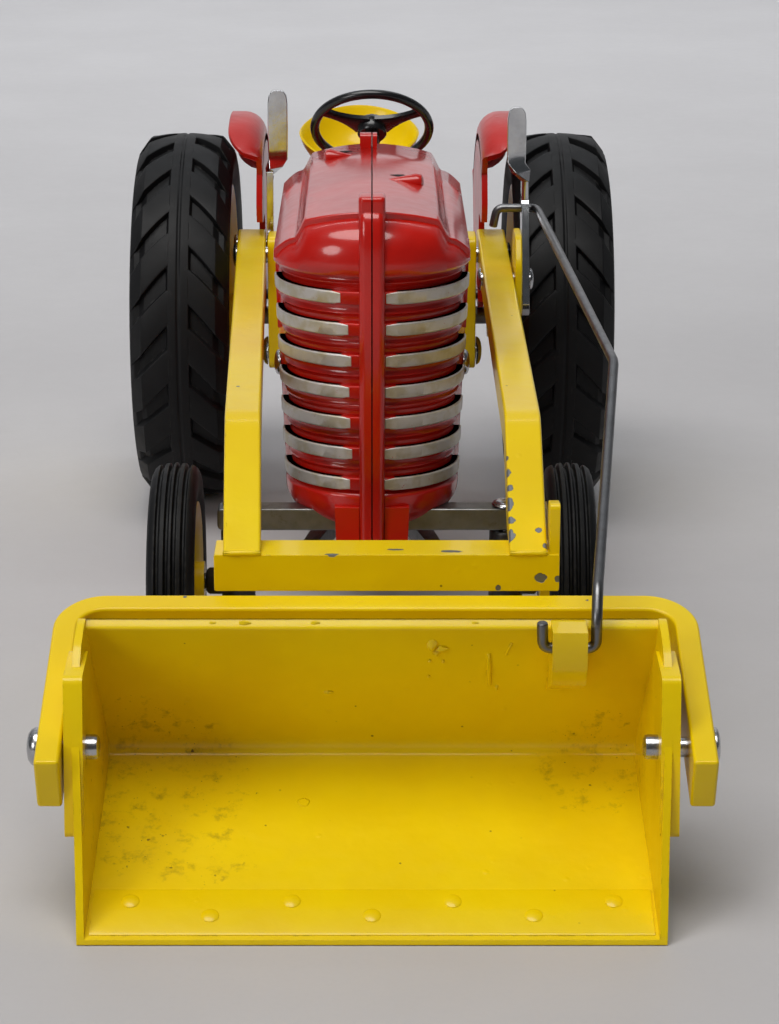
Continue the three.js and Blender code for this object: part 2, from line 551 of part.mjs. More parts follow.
function crossbar() {
  const { left, right, frontY, rearY, bottomZ, topZ, earTopZ } = CROSSBAR;
  const main = box(left, right, frontY, rearY, bottomZ, topZ);
  const ear = box(right - 1.8, right, frontY + 0.4, frontY + 6.4, topZ - 1, earTopZ);
  return join(main, ear);
}

// The flat bar bent into a U around the bucket. Its plane falls forward to the bucket's pivots.
function yoke() {
  const ahead = { y: YOKE.rearY - BUCKET_PIVOT.y, z: YOKE.rearZ - BUCKET_PIVOT.z };
  const fall = Math.atan2(ahead.z, ahead.y);
  const length = Math.hypot(ahead.y, ahead.z) + YOKE.reach;
  const { halfWidth: w, cornerRadius: r, thickness: t } = YOKE;
  const shape = new THREE.Shape();
  shape.moveTo(w, -length);
  shape.lineTo(w, -r);
  shape.absarc(w - r, -r, r, 0, Math.PI / 2);
  shape.lineTo(-w + r, 0);
  shape.absarc(-w + r, -r, r, Math.PI / 2, Math.PI);
  shape.lineTo(-w, -length);
  shape.lineTo(-w + t, -length);
  shape.lineTo(-w + t, -r);
  shape.absarc(-w + r, -r, r - t, Math.PI, Math.PI / 2, true);
  shape.lineTo(w - r, -t);
  shape.absarc(w - r, -r, r - t, Math.PI / 2, 0, true);
  shape.lineTo(w - t, -length);
  shape.closePath();
  const bent = upright(shape, -YOKE.depth / 2, YOKE.depth / 2).rotateX(fall);
  bent.translate(0, YOKE.rearY, YOKE.rearZ);
  const { y, z, pinRadius } = BUCKET_PIVOT;
  return cut(bent, bar(pinRadius + GAP, [-70, y, z], [70, y, z]));
}

function addLoaderFrame() {
  const { y, z } = leverPivot;
  const rivetLeft = { y: -14.5, z: LIFT.z };
  const leverBore = bar(1.8, [10, y, z], [50, y, z]);
  const leftBore = bar(1.5, [-50, rivetLeft.y, rivetLeft.z], [-10, rivetLeft.y, rivetLeft.z]);
  add('arm_left', loaderArm('left', [leftBore]), YELLOW);
  add('arm_right', loaderArm('right', [leverBore]), YELLOW);
  add('crossbar', crossbar(), YELLOW);
  add('yoke', yoke(), YELLOW);
  const { pinRadius } = BUCKET_PIVOT;
  for (const [name, side] of SIDES) {
    const profile = [[0, 44], [1.9, 44], [1.9, 44.4], [pinRadius, 44.4], [pinRadius, YOKE.halfWidth + GAP],
      [3.3, YOKE.halfWidth + GAP], [3, 58.4], [1.8, 59.2], [0, 59.5]];
    const pin = turned(profile, 20).translate(0, BUCKET_PIVOT.y, BUCKET_PIVOT.z);
    add(`bucket_pin_${name}`, side > 0 ? pin : pin.scale(-1, 1, 1), CHROME);
  }
  const bracket = outline([[-66, 60.5], [-49.5, 60.5], [-49.5, 74], [-52, 78], [-62, 78], [-66, 72]]);
  const bracketPlate = sideways(bracket, LEVER_BRACKET_X.inner, LEVER_BRACKET_X.outer);
  add('lever_bracket', cut(bracketPlate, leverBore), YELLOW);
  add('lever_pin', rivet(1.5, 2.6, 0.9, 24.6, LEVER_X.outer + GAP, y, z), STEEL);

  const blade = new THREE.Shape();
  blade.absarc(rivetLeft.y, rivetLeft.z + 0.2, 3, Math.PI, 2 * Math.PI);
  blade.lineTo(-12, 89);
  blade.lineTo(-17, 89);
  blade.closePath();
  const paddle = lengthways(roundedRectangle(-24.6, -20.3, 86, 104.5, 1.6), -15.3, -13.7);
  const lever = join(sideways(blade, -25.2, -23.6), paddle);
  add('lift_lever', cut(lever, leftBore), CHROME);
  add('lift_lever_rivet', rivet(1.2, 2.3, 0.8, -32.6, -23.3, rivetLeft.y, rivetLeft.z), STEEL);
}

// ---------------------------------------------------------------- bucket
const besideLip = (points) => points.map(([y, z]) => [y - LIP_REACH, z]);

// The cast sides open out towards the mouth, up and forward.
function splay(geometry) {
  const position = geometry.attributes.position;
  for (let i = 0; i < position.count; i += 1) {
    const back = position.getY(i) + LIP_REACH;
    const wider = 1 + (BUCKET.splay * (position.getZ(i) - back)) / BUCKET.halfWidth;
    position.setX(i, position.getX(i) * wider);
  }
  return geometry;
}

function bucket() {
  const sideView = outline(besideLip([
    [0, 0], [10.5, 3], [21, 6.9], [33, 11.2], [40.6, 14.9], [43, 17.6], [43.2, 19.6], [41.5, 24],
    [38.5, 29.4], [32.9, 37.6], [28, 46.6], [26.9, 48], [25.2, 47.9], [18.8, 45.3], [13, 38.5], [9.4, 29.2],
    [5.2, 14.9], [0.4, 1.8],
  ]));
  const hollow = outline(besideLip([
    [-9, 0.9], [0, 0.9], [10.5, 4.85], [21, 8.8], [33, 13.1], [38.8, 15.8], [41.2, 17.6], [41.4, 19.6],
    [39.75, 23.3], [36.75, 28.5], [31.1, 36.5], [25.9, 46.4], [60, 46.4], [60, 70], [-9, 70],
  ]));
  const outerHalf = BUCKET.halfWidth + BUCKET.side;
  const shell = cut(splay(sideways(sideView, -outerHalf, outerHalf)),
    splay(sideways(hollow, -BUCKET.halfWidth, BUCKET.halfWidth)));
  const pad = outline(besideLip([[6.8, 16], [10.2, 41.5], [24, 43.4], [30, 34], [30, 20], [22, 16]]));
  const pads = [sideways(pad, -BUCKET.padX, -47.9), sideways(pad, 47.9, BUCKET.padX)];
  const lug = sideways(outline(besideLip([
    [27, 47.6], [20.4, 47.6], [20.2, 41.5], [22.4, 37.5], [33.5, 32.6], [33.5, 36],
  ])), 30.3, 36.2);
  const { y, z, pinRadius } = BUCKET_PIVOT;
  return cut(join(shell, ...pads, lug), bar(pinRadius + RUN, [-60, y, z], [60, y, z]),
    bar(ROD_RADIUS + GAP, [25, rodAtBucket.y, rodAtBucket.z], [42, rodAtBucket.y, rodAtBucket.z]));
}

// ---------------------------------------------------------------- trip linkage
function capsule(from, to, radius, x0, x1) {
  const a = new THREE.Vector2(from.y, from.z);
  const b = new THREE.Vector2(to.y, to.z);
  const angle = b.clone().sub(a).angle();
  const shape = new THREE.Shape();
  shape.absarc(a.x, a.y, radius, angle + Math.PI / 2, angle + 1.5 * Math.PI);
  shape.absarc(b.x, b.y, radius, angle - Math.PI / 2, angle + Math.PI / 2);
  return sideways(shape, x0, x1);
}

function tripLever() {
  const { inner, outer } = LEVER_X;
  const foot = { y: leverPivot.y - 2.4, z: leverPivot.z - 4.8 };
  const neck = { y: ROD_AT_LEVER.y, z: 89 };
  const blade = capsule(foot, ROD_AT_LEVER, 3.2, inner, outer);
  const shank = capsule(ROD_AT_LEVER, neck, 2.6, inner, outer);
  const paddle = lengthways(roundedRectangle(30.6, outer, 86, 105, 1.7),
    ROD_AT_LEVER.y - 0.8, ROD_AT_LEVER.y + 0.8);
  return cut(join(blade, shank, paddle),
    bar(1.5 + RUN, [10, leverPivot.y, leverPivot.z], [50, leverPivot.y, leverPivot.z]),
    bar(ROD_RADIUS + RUN, [10, ROD_AT_LEVER.y, ROD_AT_LEVER.z], [50, ROD_AT_LEVER.y, ROD_AT_LEVER.z]));
}

// A wire from its hook in the lever, out around the front tyre, down over the bucket's top edge to its lug.
function tripRod() {
  const point = (x, y, z) => new THREE.Vector3(x, y, z);
  const b = ROD_AT_LEVER;
  const c = rodAtBucket;
  const corners = [
    point(27.6, b.y - 0.6, b.z - 4), point(28.4, b.y, b.z), point(ROD_X.lever, b.y, b.z),
    point(ROD_X.lever + 0.6, b.y - 4, b.z - 0.2), point(ROD_X.corner, ROD_CORNER.y, ROD_CORNER.z),
    point(ROD_X.bucket + 0.3, c.y + 4.2, c.z + 8.2), point(ROD_X.bucket, c.y, c.z + 3.6),
    point(ROD_X.bucket, c.y, c.z), point(28.8, c.y, c.z), point(28.6, c.y - 0.8, c.z + 4.6),
  ];
  const path = new THREE.CurvePath();
  let start = corners[0];
  for (let i = 1; i < corners.length - 1; i += 1) {
    const corner = corners[i];
    const before = corners[i - 1];
    const after = corners[i + 1];
    const round = Math.min(1.6, corner.distanceTo(before) * 0.45, corner.distanceTo(after) * 0.45);
    const inTo = corner.clone().lerp(before, round / corner.distanceTo(before));
    const outOf = corner.clone().lerp(after, round / corner.distanceTo(after));
    path.add(new THREE.LineCurve3(start, inTo));
    path.add(new THREE.QuadraticBezierCurve3(inTo, corner, outOf));
    start = outOf;
  }
  path.add(new THREE.LineCurve3(start, corners[corners.length - 1]));
  return sweptWire(path);
}

// A path through a list of points, one step per point, so that long straights cost no faces.
class PointPath extends THREE.Curve {
  constructor(points) {
    super();
    this.points = points;
  }

  getPoint(t) {
    const position = t * (this.points.length - 1);
    const i = Math.min(Math.floor(position + 1e-9), this.points.length - 2);
    return this.points[i].clone().lerp(this.points[i + 1], position - i);
  }

  getPointAt(u) {
    return this.getPoint(u);
  }

  getTangentAt(u) {
    const last = this.points.length - 1;
    const i = Math.round(u * last);
    return this.points[Math.min(i + 1, last)].clone().sub(this.points[Math.max(i - 1, 0)]).normalize();
  }
}

function sweptWire(path) {
  const centres = path.curves.flatMap((curve) =>
    curve.getPoints(curve instanceof THREE.LineCurve3 ? 1 : 3).slice(0, -1));
  centres.push(path.curves[path.curves.length - 1].getPoint(1));
  const section = new THREE.Shape();
  section.absarc(0, 0, ROD_RADIUS, 0, 2 * Math.PI);
  return new THREE.ExtrudeGeometry(section,
    { steps: centres.length - 1, extrudePath: new PointPath(centres), curveSegments: 4 });
}

addBody();
addFrontAxle();
addFrontStay();
addWheels();
addFenders();
addSeat();
addSteering();
addDrawbar();
addMasts();
addLoaderFrame();
add('bucket', bucket(), YELLOW);
add('trip_lever', tripLever(), CHROME);
add('trip_rod', tripRod(), ZINC);

export default toy;
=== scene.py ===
"""A toy farm tractor with a front loader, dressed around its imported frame.

Lengths are written in millimetres, with Y measured from the rear axle and -Y forward,
as in the part's own source. place() turns them into metres in the frame.
"""
import math

import bmesh
import bpy
from mathutils import Matrix, Vector


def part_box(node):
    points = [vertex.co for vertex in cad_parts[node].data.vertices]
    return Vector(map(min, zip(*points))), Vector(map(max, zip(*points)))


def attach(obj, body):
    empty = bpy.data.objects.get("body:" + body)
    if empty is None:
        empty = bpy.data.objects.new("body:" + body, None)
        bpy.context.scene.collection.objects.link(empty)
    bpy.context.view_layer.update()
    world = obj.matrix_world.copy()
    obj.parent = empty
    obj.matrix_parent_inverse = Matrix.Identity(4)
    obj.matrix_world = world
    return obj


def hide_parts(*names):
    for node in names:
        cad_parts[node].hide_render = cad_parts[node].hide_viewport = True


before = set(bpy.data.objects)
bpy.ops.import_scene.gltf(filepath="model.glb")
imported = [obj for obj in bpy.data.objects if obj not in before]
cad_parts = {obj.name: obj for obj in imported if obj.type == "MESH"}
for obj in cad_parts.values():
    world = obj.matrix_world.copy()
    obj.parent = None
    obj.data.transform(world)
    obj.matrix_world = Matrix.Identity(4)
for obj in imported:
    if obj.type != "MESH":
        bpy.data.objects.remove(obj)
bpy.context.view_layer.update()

MM = 0.001
axle_low, axle_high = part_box("rear_axle")
AXLE_Y = (axle_low.y + axle_high.y) / 2
REAR_AXLE_Z = (axle_low.z + axle_high.z) / 2 / MM
SIDES = (("left", -1), ("right", 1))


def place(point):
    """A point in millimetres from the rear axle, as metres in the frame."""
    return Vector((point[0] * MM, point[1] * MM + AXLE_Y, point[2] * MM))


def middle(node):
    """The middle of a frame node, in millimetres from the rear axle."""
    low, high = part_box(node)
    centre = (low + high) / 2
    return Vector((centre.x / MM, (centre.y - AXLE_Y) / MM, centre.z / MM))


# ---------------------------------------------------------------- shapes: (points, faces) in millimetres
def arc(centre, radius, start, end, steps):
    """Points on a circle from one angle to another, in degrees."""
    angles = [math.radians(start + (end - start) * i / steps) for i in range(steps + 1)]
    return [(centre[0] + radius * math.cos(a), centre[1] + radius * math.sin(a)) for a in angles]


def rounded(points, radius, steps=4):
    """A closed outline with its corners rounded. radius is one number, or one for each corner."""
    count = len(points)
    radii = radius if isinstance(radius, (list, tuple)) else [radius] * count
    out = []
    for i, here in enumerate(points):
        before = Vector(points[i - 1]) - Vector(here)
        after = Vector(points[(i + 1) % count]) - Vector(here)
        if radii[i] <= 0:
            out.append(tuple(here))
            continue
        size = min(radii[i], before.length * 0.48, after.length * 0.48)
        a = Vector(here) + before.normalized() * size
        b = Vector(here) + after.normalized() * size
        for k in range(steps + 1):
            t = k / steps
            point = a * (1 - t) ** 2 + Vector(here) * 2 * t * (1 - t) + b * t ** 2
            out.append(tuple(point))
    return out


def prism(outline, low, high, axis):
    """An outline given thickness. Along x it is drawn in (y, z), along y in (x, z), along z in (x, y)."""
    lay = {
        "x": lambda a, b, t: (t, a, b),
        "y": lambda a, b, t: (a, t, b),
        "z": lambda a, b, t: (a, b, t),
    }[axis]
    count = len(outline)
    points = [lay(a, b, low) for a, b in outline] + [lay(a, b, high) for a, b in outline]
    faces = [tuple(range(count)), tuple(range(count, 2 * count))]
    faces += [(i, (i + 1) % count, (i + 1) % count + count, i + count) for i in range(count)]
    return points, faces


def lathe(profile, steps=48, centre=(0, 0, 0), axis="x"):
    """A profile of (radius, position) pairs turned about an axis. It closes on itself or ends on the axis."""
    lay = {
        "x": lambda c, s, t: (t, c, s),
        "y": lambda c, s, t: (c, t, s),
        "z": lambda c, s, t: (c, s, t),
    }[axis]
    closed = profile[0] == profile[-1]
    rows = profile[:-1] if closed else profile
    points, rings = [], []
    for radius, t in rows:
        if radius < 1e-6:
            rings.append([len(points)] * steps)
            points.append(lay(0, 0, t))
            continue
        rings.append([len(points) + i for i in range(steps)])
        for i in range(steps):
            a = 2 * math.pi * i / steps
            points.append(lay(radius * math.cos(a), radius * math.sin(a), t))
    faces = []
    pairs = list(zip(rings, rings[1:] + rings[:1])) if closed else list(zip(rings, rings[1:]))
    for one, two in pairs:
        for i in range(steps):
            j = (i + 1) % steps
            face = list(dict.fromkeys((one[i], one[j], two[j], two[i])))
            if len(face) > 2:
                faces.append(tuple(face))
    return [tuple(Vector(p) + Vector(centre)) for p in points], faces


def grid(rows, closed=False):
    """A sheet of faces through rows of points. closed joins each row's end to its start."""
    width = len(rows[0])
    points = [tuple(p) for row in rows for p in row]
    faces = []
    for r in range(len(rows) - 1):
        for c in range(width if closed else width - 1):
            d = (c + 1) % width
            faces.append((r * width + c, r * width + d, (r + 1) * width + d, (r + 1) * width + c))
    return points, faces


def loft(rings):
    """A solid through closed rings of points, with flat ends."""
    points, faces = grid(rings, closed=True)
    width = len(rings[0])
    last = (len(rings) - 1) * width
    return points, faces + [tuple(range(width)), tuple(range(last, last + width))]


def bent_path(corners, radius, steps=6):
    """A polyline whose corners are rounded off."""
    points = [Vector(c) for c in corners]
    out = [points[0]]
    for before, here, after in zip(points, points[1:], points[2:]):
        size = min(radius, (before - here).length * 0.45, (after - here).length * 0.45)
        a = here + (before - here).normalized() * size
        b = here + (after - here).normalized() * size
        out += [a * (1 - t) ** 2 + here * 2 * t * (1 - t) + b * t ** 2
                for t in (k / steps for k in range(steps + 1))]
    return out + [points[-1]]


def wire(path, radius, steps=14):
    """A round bar along a path, with softened ends."""
    spine = [Vector(p) for p in path]
    first = (spine[1] - spine[0]).normalized()
    side = first.cross(Vector((0, 0, 1)))
    if side.length < 0.1:
        side = first.cross(Vector((1, 0, 0)))
    side.normalize()
    rings = []
    for i, centre in enumerate(spine):
        along = (spine[min(i + 1, len(spine) - 1)] - spine[max(i - 1, 0)]).normalized()
        side = (side - along * side.dot(along)).normalized()
        up = along.cross(side)
        ends = []
        if i == 0:
            ends = [(-0.35, 0.6), (-0.22, 0.88)]
        rings_here = ends + [(0, 1)]
        if i == len(spine) - 1:
            rings_here = [(0, 1), (0.22, 0.88), (0.35, 0.6)]
        for shift, scale in rings_here:
            rings.append([
                centre + along * shift * radius
                + (side * math.cos(a) + up * math.sin(a)) * radius * scale
                for a in (2 * math.pi * k / steps for k in range(steps))
            ])
    return loft(rings)


def blob(centre, size):
    """A rounded lump of casting or paint."""
    points, faces = lathe([(0, -1), (0.55, -0.8), (0.9, -0.4), (1, 0), (0.85, 0.45), (0.5, 0.82), (0, 1)], 14)
    wobble = [1 + 0.18 * math.sin(3.1 * x + 5.3 * z + 2 * y) for x, y, z in points]
    return [(centre[0] + x * size[0] * w, centre[1] + y * size[1] * w, centre[2] + z * size[2] * w)
            for (x, y, z), w in zip(points, wobble)], faces


def turned(shape, matrix):
    return [tuple(matrix @ Vector(p)) for p in shape[0]], shape[1]


def mirrored(shape, side):
    """The shape as drawn for the right-hand side, or its mirror image for the left."""
    if side > 0:
        return shape
    return [(-x, y, z) for x, y, z in shape[0]], shape[1]


def to_mesh(name, shapes):
    """One mesh in metres from shapes in millimetres, each with its faces pointing out."""
    whole = bmesh.new()
    for points, faces in shapes:
        bm = bmesh.new()
        made = [bm.verts.new(place(p)) for p in points]
        for face in faces:
            bm.faces.new([made[i] for i in face])
        bmesh.ops.remove_doubles(bm, verts=bm.verts, dist=1e-7)
        bmesh.ops.recalc_face_normals(bm, faces=bm.faces)
        part = bpy.data.meshes.new("part")
        bm.to_mesh(part)
        bm.free()
        whole.from_mesh(part)
        bpy.data.meshes.remove(part)
    mesh = bpy.data.meshes.new(name)
    whole.to_mesh(mesh)
    whole.free()
    return mesh


def cut_away(mesh, cutters):
    """The mesh with every cutter's shape removed."""
    target = bpy.data.objects.new("target", mesh)
    bpy.context.scene.collection.objects.link(target)
    helpers = []
    for cutter in cutters:
        helper = bpy.data.objects.new("cutter", to_mesh("cutter", [cutter]))
        bpy.context.scene.collection.objects.link(helper)
        change = target.modifiers.new("cut", "BOOLEAN")
        change.operation = "DIFFERENCE"
        change.solver = "EXACT"
        change.object = helper
        helpers.append(helper)
    graph = bpy.context.evaluated_depsgraph_get()
    result = bpy.data.meshes.new_from_object(target.evaluated_get(graph))
    for helper in helpers + [target]:
        bpy.data.objects.remove(helper)
    return result


def joined(name, meshes):
    """One mesh from several."""
    bm = bmesh.new()
    for mesh in meshes:
        bm.from_mesh(mesh)
    whole = bpy.data.meshes.new(name)
    bm.to_mesh(whole)
    bm.free()
    return whole


def finished(name, mesh, material, body, nodes=(), slot=None, bevel=0.0, angle=35, bends=2):
    """A visible piece from a mesh. It rides on a frame body, stands for frame nodes and has its edges rounded."""
    mesh.name = name
    mesh.materials.clear()
    mesh.materials.append(material)
    obj = bpy.data.objects.new(f"{name}_visual", mesh)
    bpy.context.scene.collection.objects.link(obj)
    mesh.shade_smooth()
    mesh.set_sharp_from_angle(angle=math.radians(angle))
    if bevel:
        edge = obj.modifiers.new("edges", "BEVEL")
        edge.width = bevel * MM
        edge.segments = bends
        edge.limit_method = "ANGLE"
        edge.angle_limit = math.radians(angle)
        edge.harden_normals = True
    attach(obj, body)
    if nodes:
        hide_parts(*nodes)
    return obj


def piece(name, shapes, material, body, nodes=(), slot=None, cuts=(), **edges):
    """A visible piece built from shapes, with any cutters' shapes removed."""
    if cuts:
        mesh = joined(name, [cut_away(to_mesh(name, [shape]), cuts) for shape in shapes])
    else:
        mesh = to_mesh(name, shapes)
    return finished(name, mesh, material, body, nodes, slot, **edges)


# ---------------------------------------------------------------- materials
class Nodes:
    """A short way to write a node material. Positions are in millimetres in the rest pose."""

    def __init__(self, name):
        self.material = bpy.data.materials.new(name)
        self.material.use_nodes = True
        self.tree = self.material.node_tree
        self.surface = self.tree.nodes["Principled BSDF"]
        coordinates = self.add("ShaderNodeTexCoord")
        from_axle = self.vector("SUBTRACT", coordinates.outputs["Object"], (0, AXLE_Y, 0))
        self.position = self.vector("SCALE", from_axle, scale=1 / MM)

    def add(self, kind, **values):
        node = self.tree.nodes.new(kind)
        for key, value in values.items():
            setattr(node, key, value)
        return node

    def link(self, value, socket):
        if isinstance(value, bpy.types.NodeSocket):
            self.tree.links.new(value, socket)
        else:
            socket.default_value = value

    def vector(self, operation, a, b=None, scale=None):
        node = self.add("ShaderNodeVectorMath", operation=operation)
        self.link(a, node.inputs[0])
        if b is not None:
            self.link(b, node.inputs[1])
        if scale is not None:
            node.inputs["Scale"].default_value = scale
        return node.outputs["Value" if operation in ("DISTANCE", "DOT_PRODUCT", "LENGTH") else "Vector"]

    def math(self, operation, a, b=0.0, clamp=False):
        node = self.add("ShaderNodeMath", operation=operation, use_clamp=clamp)
        self.link(a, node.inputs[0])
        self.link(b, node.inputs[1])
        return node.outputs[0]

    def noise(self, size, detail=3.0, stretch=(1, 1, 1), roughness=0.55):
        """Noise whose features are about size millimetres across."""
        node = self.add("ShaderNodeTexNoise")
        self.link(self.vector("MULTIPLY", self.position, stretch), node.inputs["Vector"])
        node.inputs["Scale"].default_value = 1 / size
        node.inputs["Detail"].default_value = detail
        node.inputs["Roughness"].default_value = roughness
        return node.outputs[0]

    def cells(self, size, seed=(0, 0, 0)):
        """Distance to the nearest of scattered points, in cell sizes."""
        node = self.add("ShaderNodeTexVoronoi")
        self.link(self.vector("ADD", self.position, seed), node.inputs["Vector"])
        node.inputs["Scale"].default_value = 1 / size
        return node.outputs["Distance"]

    def ramp(self, value, low, high):
        """0 below low and 1 above high, or the other way round when low is the larger."""
        node = self.add("ShaderNodeMapRange", clamp=True, interpolation_type="SMOOTHSTEP")
        self.link(value, node.inputs["Value"])
        node.inputs["From Min"].default_value = min(low, high)
        node.inputs["From Max"].default_value = max(low, high)
        node.inputs["To Min"].default_value = 0.0 if low < high else 1.0
        node.inputs["To Max"].default_value = 1.0 if low < high else 0.0
        return node.outputs["Result"]

    def mix(self, share, a, b):
        """A colour between a and b."""
        node = self.add("ShaderNodeMix", data_type="RGBA")
        self.link(share, node.inputs["Factor"])
        for value, socket in ((a, node.inputs["A"]), (b, node.inputs["B"])):
            self.link(value if isinstance(value, bpy.types.NodeSocket) else (*value, 1.0), socket)
        return node.outputs["Result"]

    def between(self, share, a, b):
        """A number between a and b."""
        node = self.add("ShaderNodeMix", data_type="FLOAT")
        self.link(share, node.inputs["Factor"])
        self.link(a, node.inputs["A"])
        self.link(b, node.inputs["B"])
        return node.outputs["Result"]

    def spots(self, places, ragged=0.5):
        """A mask of ragged spots, each ((x, y, z), radius) with an optional squeeze along each axis."""
        wobble = self.noise(1.6, 4.0)
        wobble = self.math("MULTIPLY", self.math("SUBTRACT", wobble, 0.5), 2 * ragged)
        total = None
        for centre, radius, *squeeze in places:
            squeeze = squeeze[0] if squeeze else (1, 1, 1)
            offset = self.vector("MULTIPLY", self.vector("SUBTRACT", self.position, centre), squeeze)
            distance = self.math("DIVIDE", self.vector("LENGTH", offset), radius)
            spot = self.ramp(self.math("ADD", distance, self.math("MULTIPLY", wobble, 2.0)), 1.06, 0.94)
            total = spot if total is None else self.math("MAXIMUM", total, spot)
        return total

    def edges(self, radius=0.5, low=0.03, high=0.25):
        """A mask of the object's convex and concave edges."""
        rounded_off = self.add("ShaderNodeBevel", samples=3)
        rounded_off.inputs["Radius"].default_value = radius * MM
        geometry = self.add("ShaderNodeNewGeometry")
        same = self.vector("DOT_PRODUCT", rounded_off.outputs[0], geometry.outputs["Normal"])
        return self.ramp(self.math("SUBTRACT", 1.0, same), low, high)

    def bump(self, height, strength, distance=0.1, under=None):
        node = self.add("ShaderNodeBump")
        node.inputs["Strength"].default_value = strength
        node.inputs["Distance"].default_value = distance * MM
        self.link(height, node.inputs["Height"])
        if under is not None:
            self.link(under, node.inputs["Normal"])
        return node.outputs[0]

    def finish(self, colour, roughness, metallic=0.0, normal=None, coat=0.0, coat_roughness=0.05):
        inputs = self.surface.inputs
        colour = colour if isinstance(colour, bpy.types.NodeSocket) else (*colour, 1.0)
        self.link(colour, inputs["Base Color"])
        self.link(roughness, inputs["Roughness"])
        self.link(metallic, inputs["Metallic"])
        self.link(coat, inputs["Coat Weight"])
        inputs["Coat Roughness"].default_value = coat_roughness
        if normal is not None:
            self.link(normal, inputs["Normal"])
        return self.material


BARE_METAL = (0.19, 0.2, 0.215)
GRIME = (0.06, 0.03, 0.008)


def enamel(name, light, deep, chips=(), dirt=(), lumps=(), edge_darkening=0.25, coat=0.35):
    """Thick brushed enamel on a casting: soft ripples, lumps, pinholes, chips down to metal, dirt, and darkened edges:
    rubbing on convex edges, painted shade in concave creases.
    """
    n = Nodes(name)
    broad = n.noise(26, 3)
    colour = n.mix(n.ramp(broad, 0.3, 0.72), light, deep)
    patch = n.ramp(n.noise(5, 4), 0.5, 0.75)
    colour = n.mix(n.math("MULTIPLY", patch, 0.16), colour, deep)
    # Edges darkened in broken patches: rubbed paint on the convex edges, painted shade in the concave creases.
    edge = n.edges()
    broken = n.ramp(n.noise(2.2, 5), 0.5, 0.64)
    rubbed_edge_and_crease_shade = n.math("MULTIPLY", n.math("MULTIPLY", edge, broken), edge_darkening)
    colour = n.mix(rubbed_edge_and_crease_shade, colour, tuple(c * 0.35 for c in deep))
    pinholes = n.ramp(n.cells(5.5), 0.055, 0.03)
    pinholes = n.math("MULTIPLY", pinholes, n.ramp(n.noise(16, 2), 0.5, 0.62))
    colour = n.mix(n.math("MULTIPLY", pinholes, 0.75), colour, GRIME)
    if dirt:
        region = n.spots(dirt, 0.35)
        soft = n.math("MULTIPLY", region, n.ramp(n.noise(3.4, 6, roughness=0.7), 0.5, 0.72))
        wander = n.math("MULTIPLY", n.noise(0.5, 3), 0.35)
        small = n.ramp(n.math("ADD", n.cells(0.85, (3, 5, 1)), wander), 0.34, 0.22)
        large = n.ramp(n.math("ADD", n.cells(2.6, (1, 4, 2)), wander), 0.3, 0.22)
        specks = n.math("MULTIPLY", n.math("MAXIMUM", small, large), n.ramp(n.noise(4, 4), 0.46, 0.62))
        colour = n.mix(n.math("MULTIPLY", soft, 0.42), colour, GRIME)
        colour = n.mix(n.math("MULTIPLY", n.math("MULTIPLY", region, specks), 0.85), colour, GRIME)
    roughness = n.between(n.noise(3, 4), 0.3, 0.46)
    metallic = 0.0
    gloss = coat
    ripples = n.bump(n.noise(2.6, 2), 0.16, 0.3)
    ripples = n.bump(n.noise(9, 2), 0.3, 0.7, ripples)
    grit = n.ramp(n.cells(3.6, (7, 2, 4)), 0.2, 0.02)
    grit = n.math("MULTIPLY", grit, n.ramp(n.noise(11, 2), 0.52, 0.66))
    normal = n.bump(grit, 0.35, 0.22, ripples)
    if lumps:
        normal = n.bump(n.spots(lumps, 0.25), 0.7, 0.45, normal)
    if chips:
        bare = n.spots(chips, 0.42)
        colour = n.mix(bare, colour, BARE_METAL)
        roughness = n.between(bare, roughness, 0.5)
        metallic = n.math("MULTIPLY", bare, 0.7)
        gloss = n.between(bare, coat, 0.0)
        normal = n.bump(n.math("SUBTRACT", 1.0, bare), 0.8, 0.25, normal)
    n.surface.inputs["Specular IOR Level"].default_value = 0.2
    return n.finish(colour, roughness, metallic, normal, gloss, 0.12)


YELLOW_LIGHT = (0.86, 0.62, 0.0)
YELLOW_DEEP = (0.8, 0.545, 0.0)
RED_LIGHT = (0.56, 0.008, 0.002)
RED_DEEP = (0.43, 0.005, 0.002)


def bare(name, base, roughness, metallic=1.0, grain=(1, 1, 1), stain=(0.1, 0.06, 0.03), stained=0.25, coat=0.0):
    """Uncoated or plated metal with brushed grain, smudges and stains."""
    n = Nodes(name)
    mottle = n.noise(4, 5)
    colour = n.mix(n.ramp(mottle, 0.35, 0.7), base, tuple(c * 0.78 for c in base))
    stains = n.math("MULTIPLY", n.ramp(n.noise(2.4, 6, roughness=0.7), 0.58, 0.7), stained)
    colour = n.mix(stains, colour, stain)
    rough = n.between(n.noise(1.4, 4, grain), roughness * 0.7, roughness * 1.35)
    normal = n.bump(n.noise(0.5, 3, grain), 0.12, 0.05)
    normal = n.bump(n.noise(3, 2), 0.1, 0.2, normal)
    return n.finish(colour, rough, metallic, normal, coat)


def rubber(name, tone):
    """Dusty moulded rubber with scuffs."""
    n = Nodes(name)
    dust = n.ramp(n.noise(7, 6, roughness=0.65), 0.46, 0.75)
    colour = n.mix(n.math("MULTIPLY", dust, 0.4), tone, tuple(c * 2.0 for c in tone))
    scuffs = n.math("MULTIPLY", n.edges(0.7), n.ramp(n.noise(2, 5), 0.5, 0.66))
    colour = n.mix(n.math("MULTIPLY", scuffs, 0.5), colour, (0.07, 0.068, 0.064))
    rough = n.between(n.noise(5, 4), 0.42, 0.66)
    n.surface.inputs["Specular IOR Level"].default_value = 0.22
    normal = n.bump(n.noise(0.8, 3), 0.16, 0.08)
    normal = n.bump(n.noise(6, 3), 0.18, 0.3, normal)
    return n.finish(colour, rough, 0.0, normal)


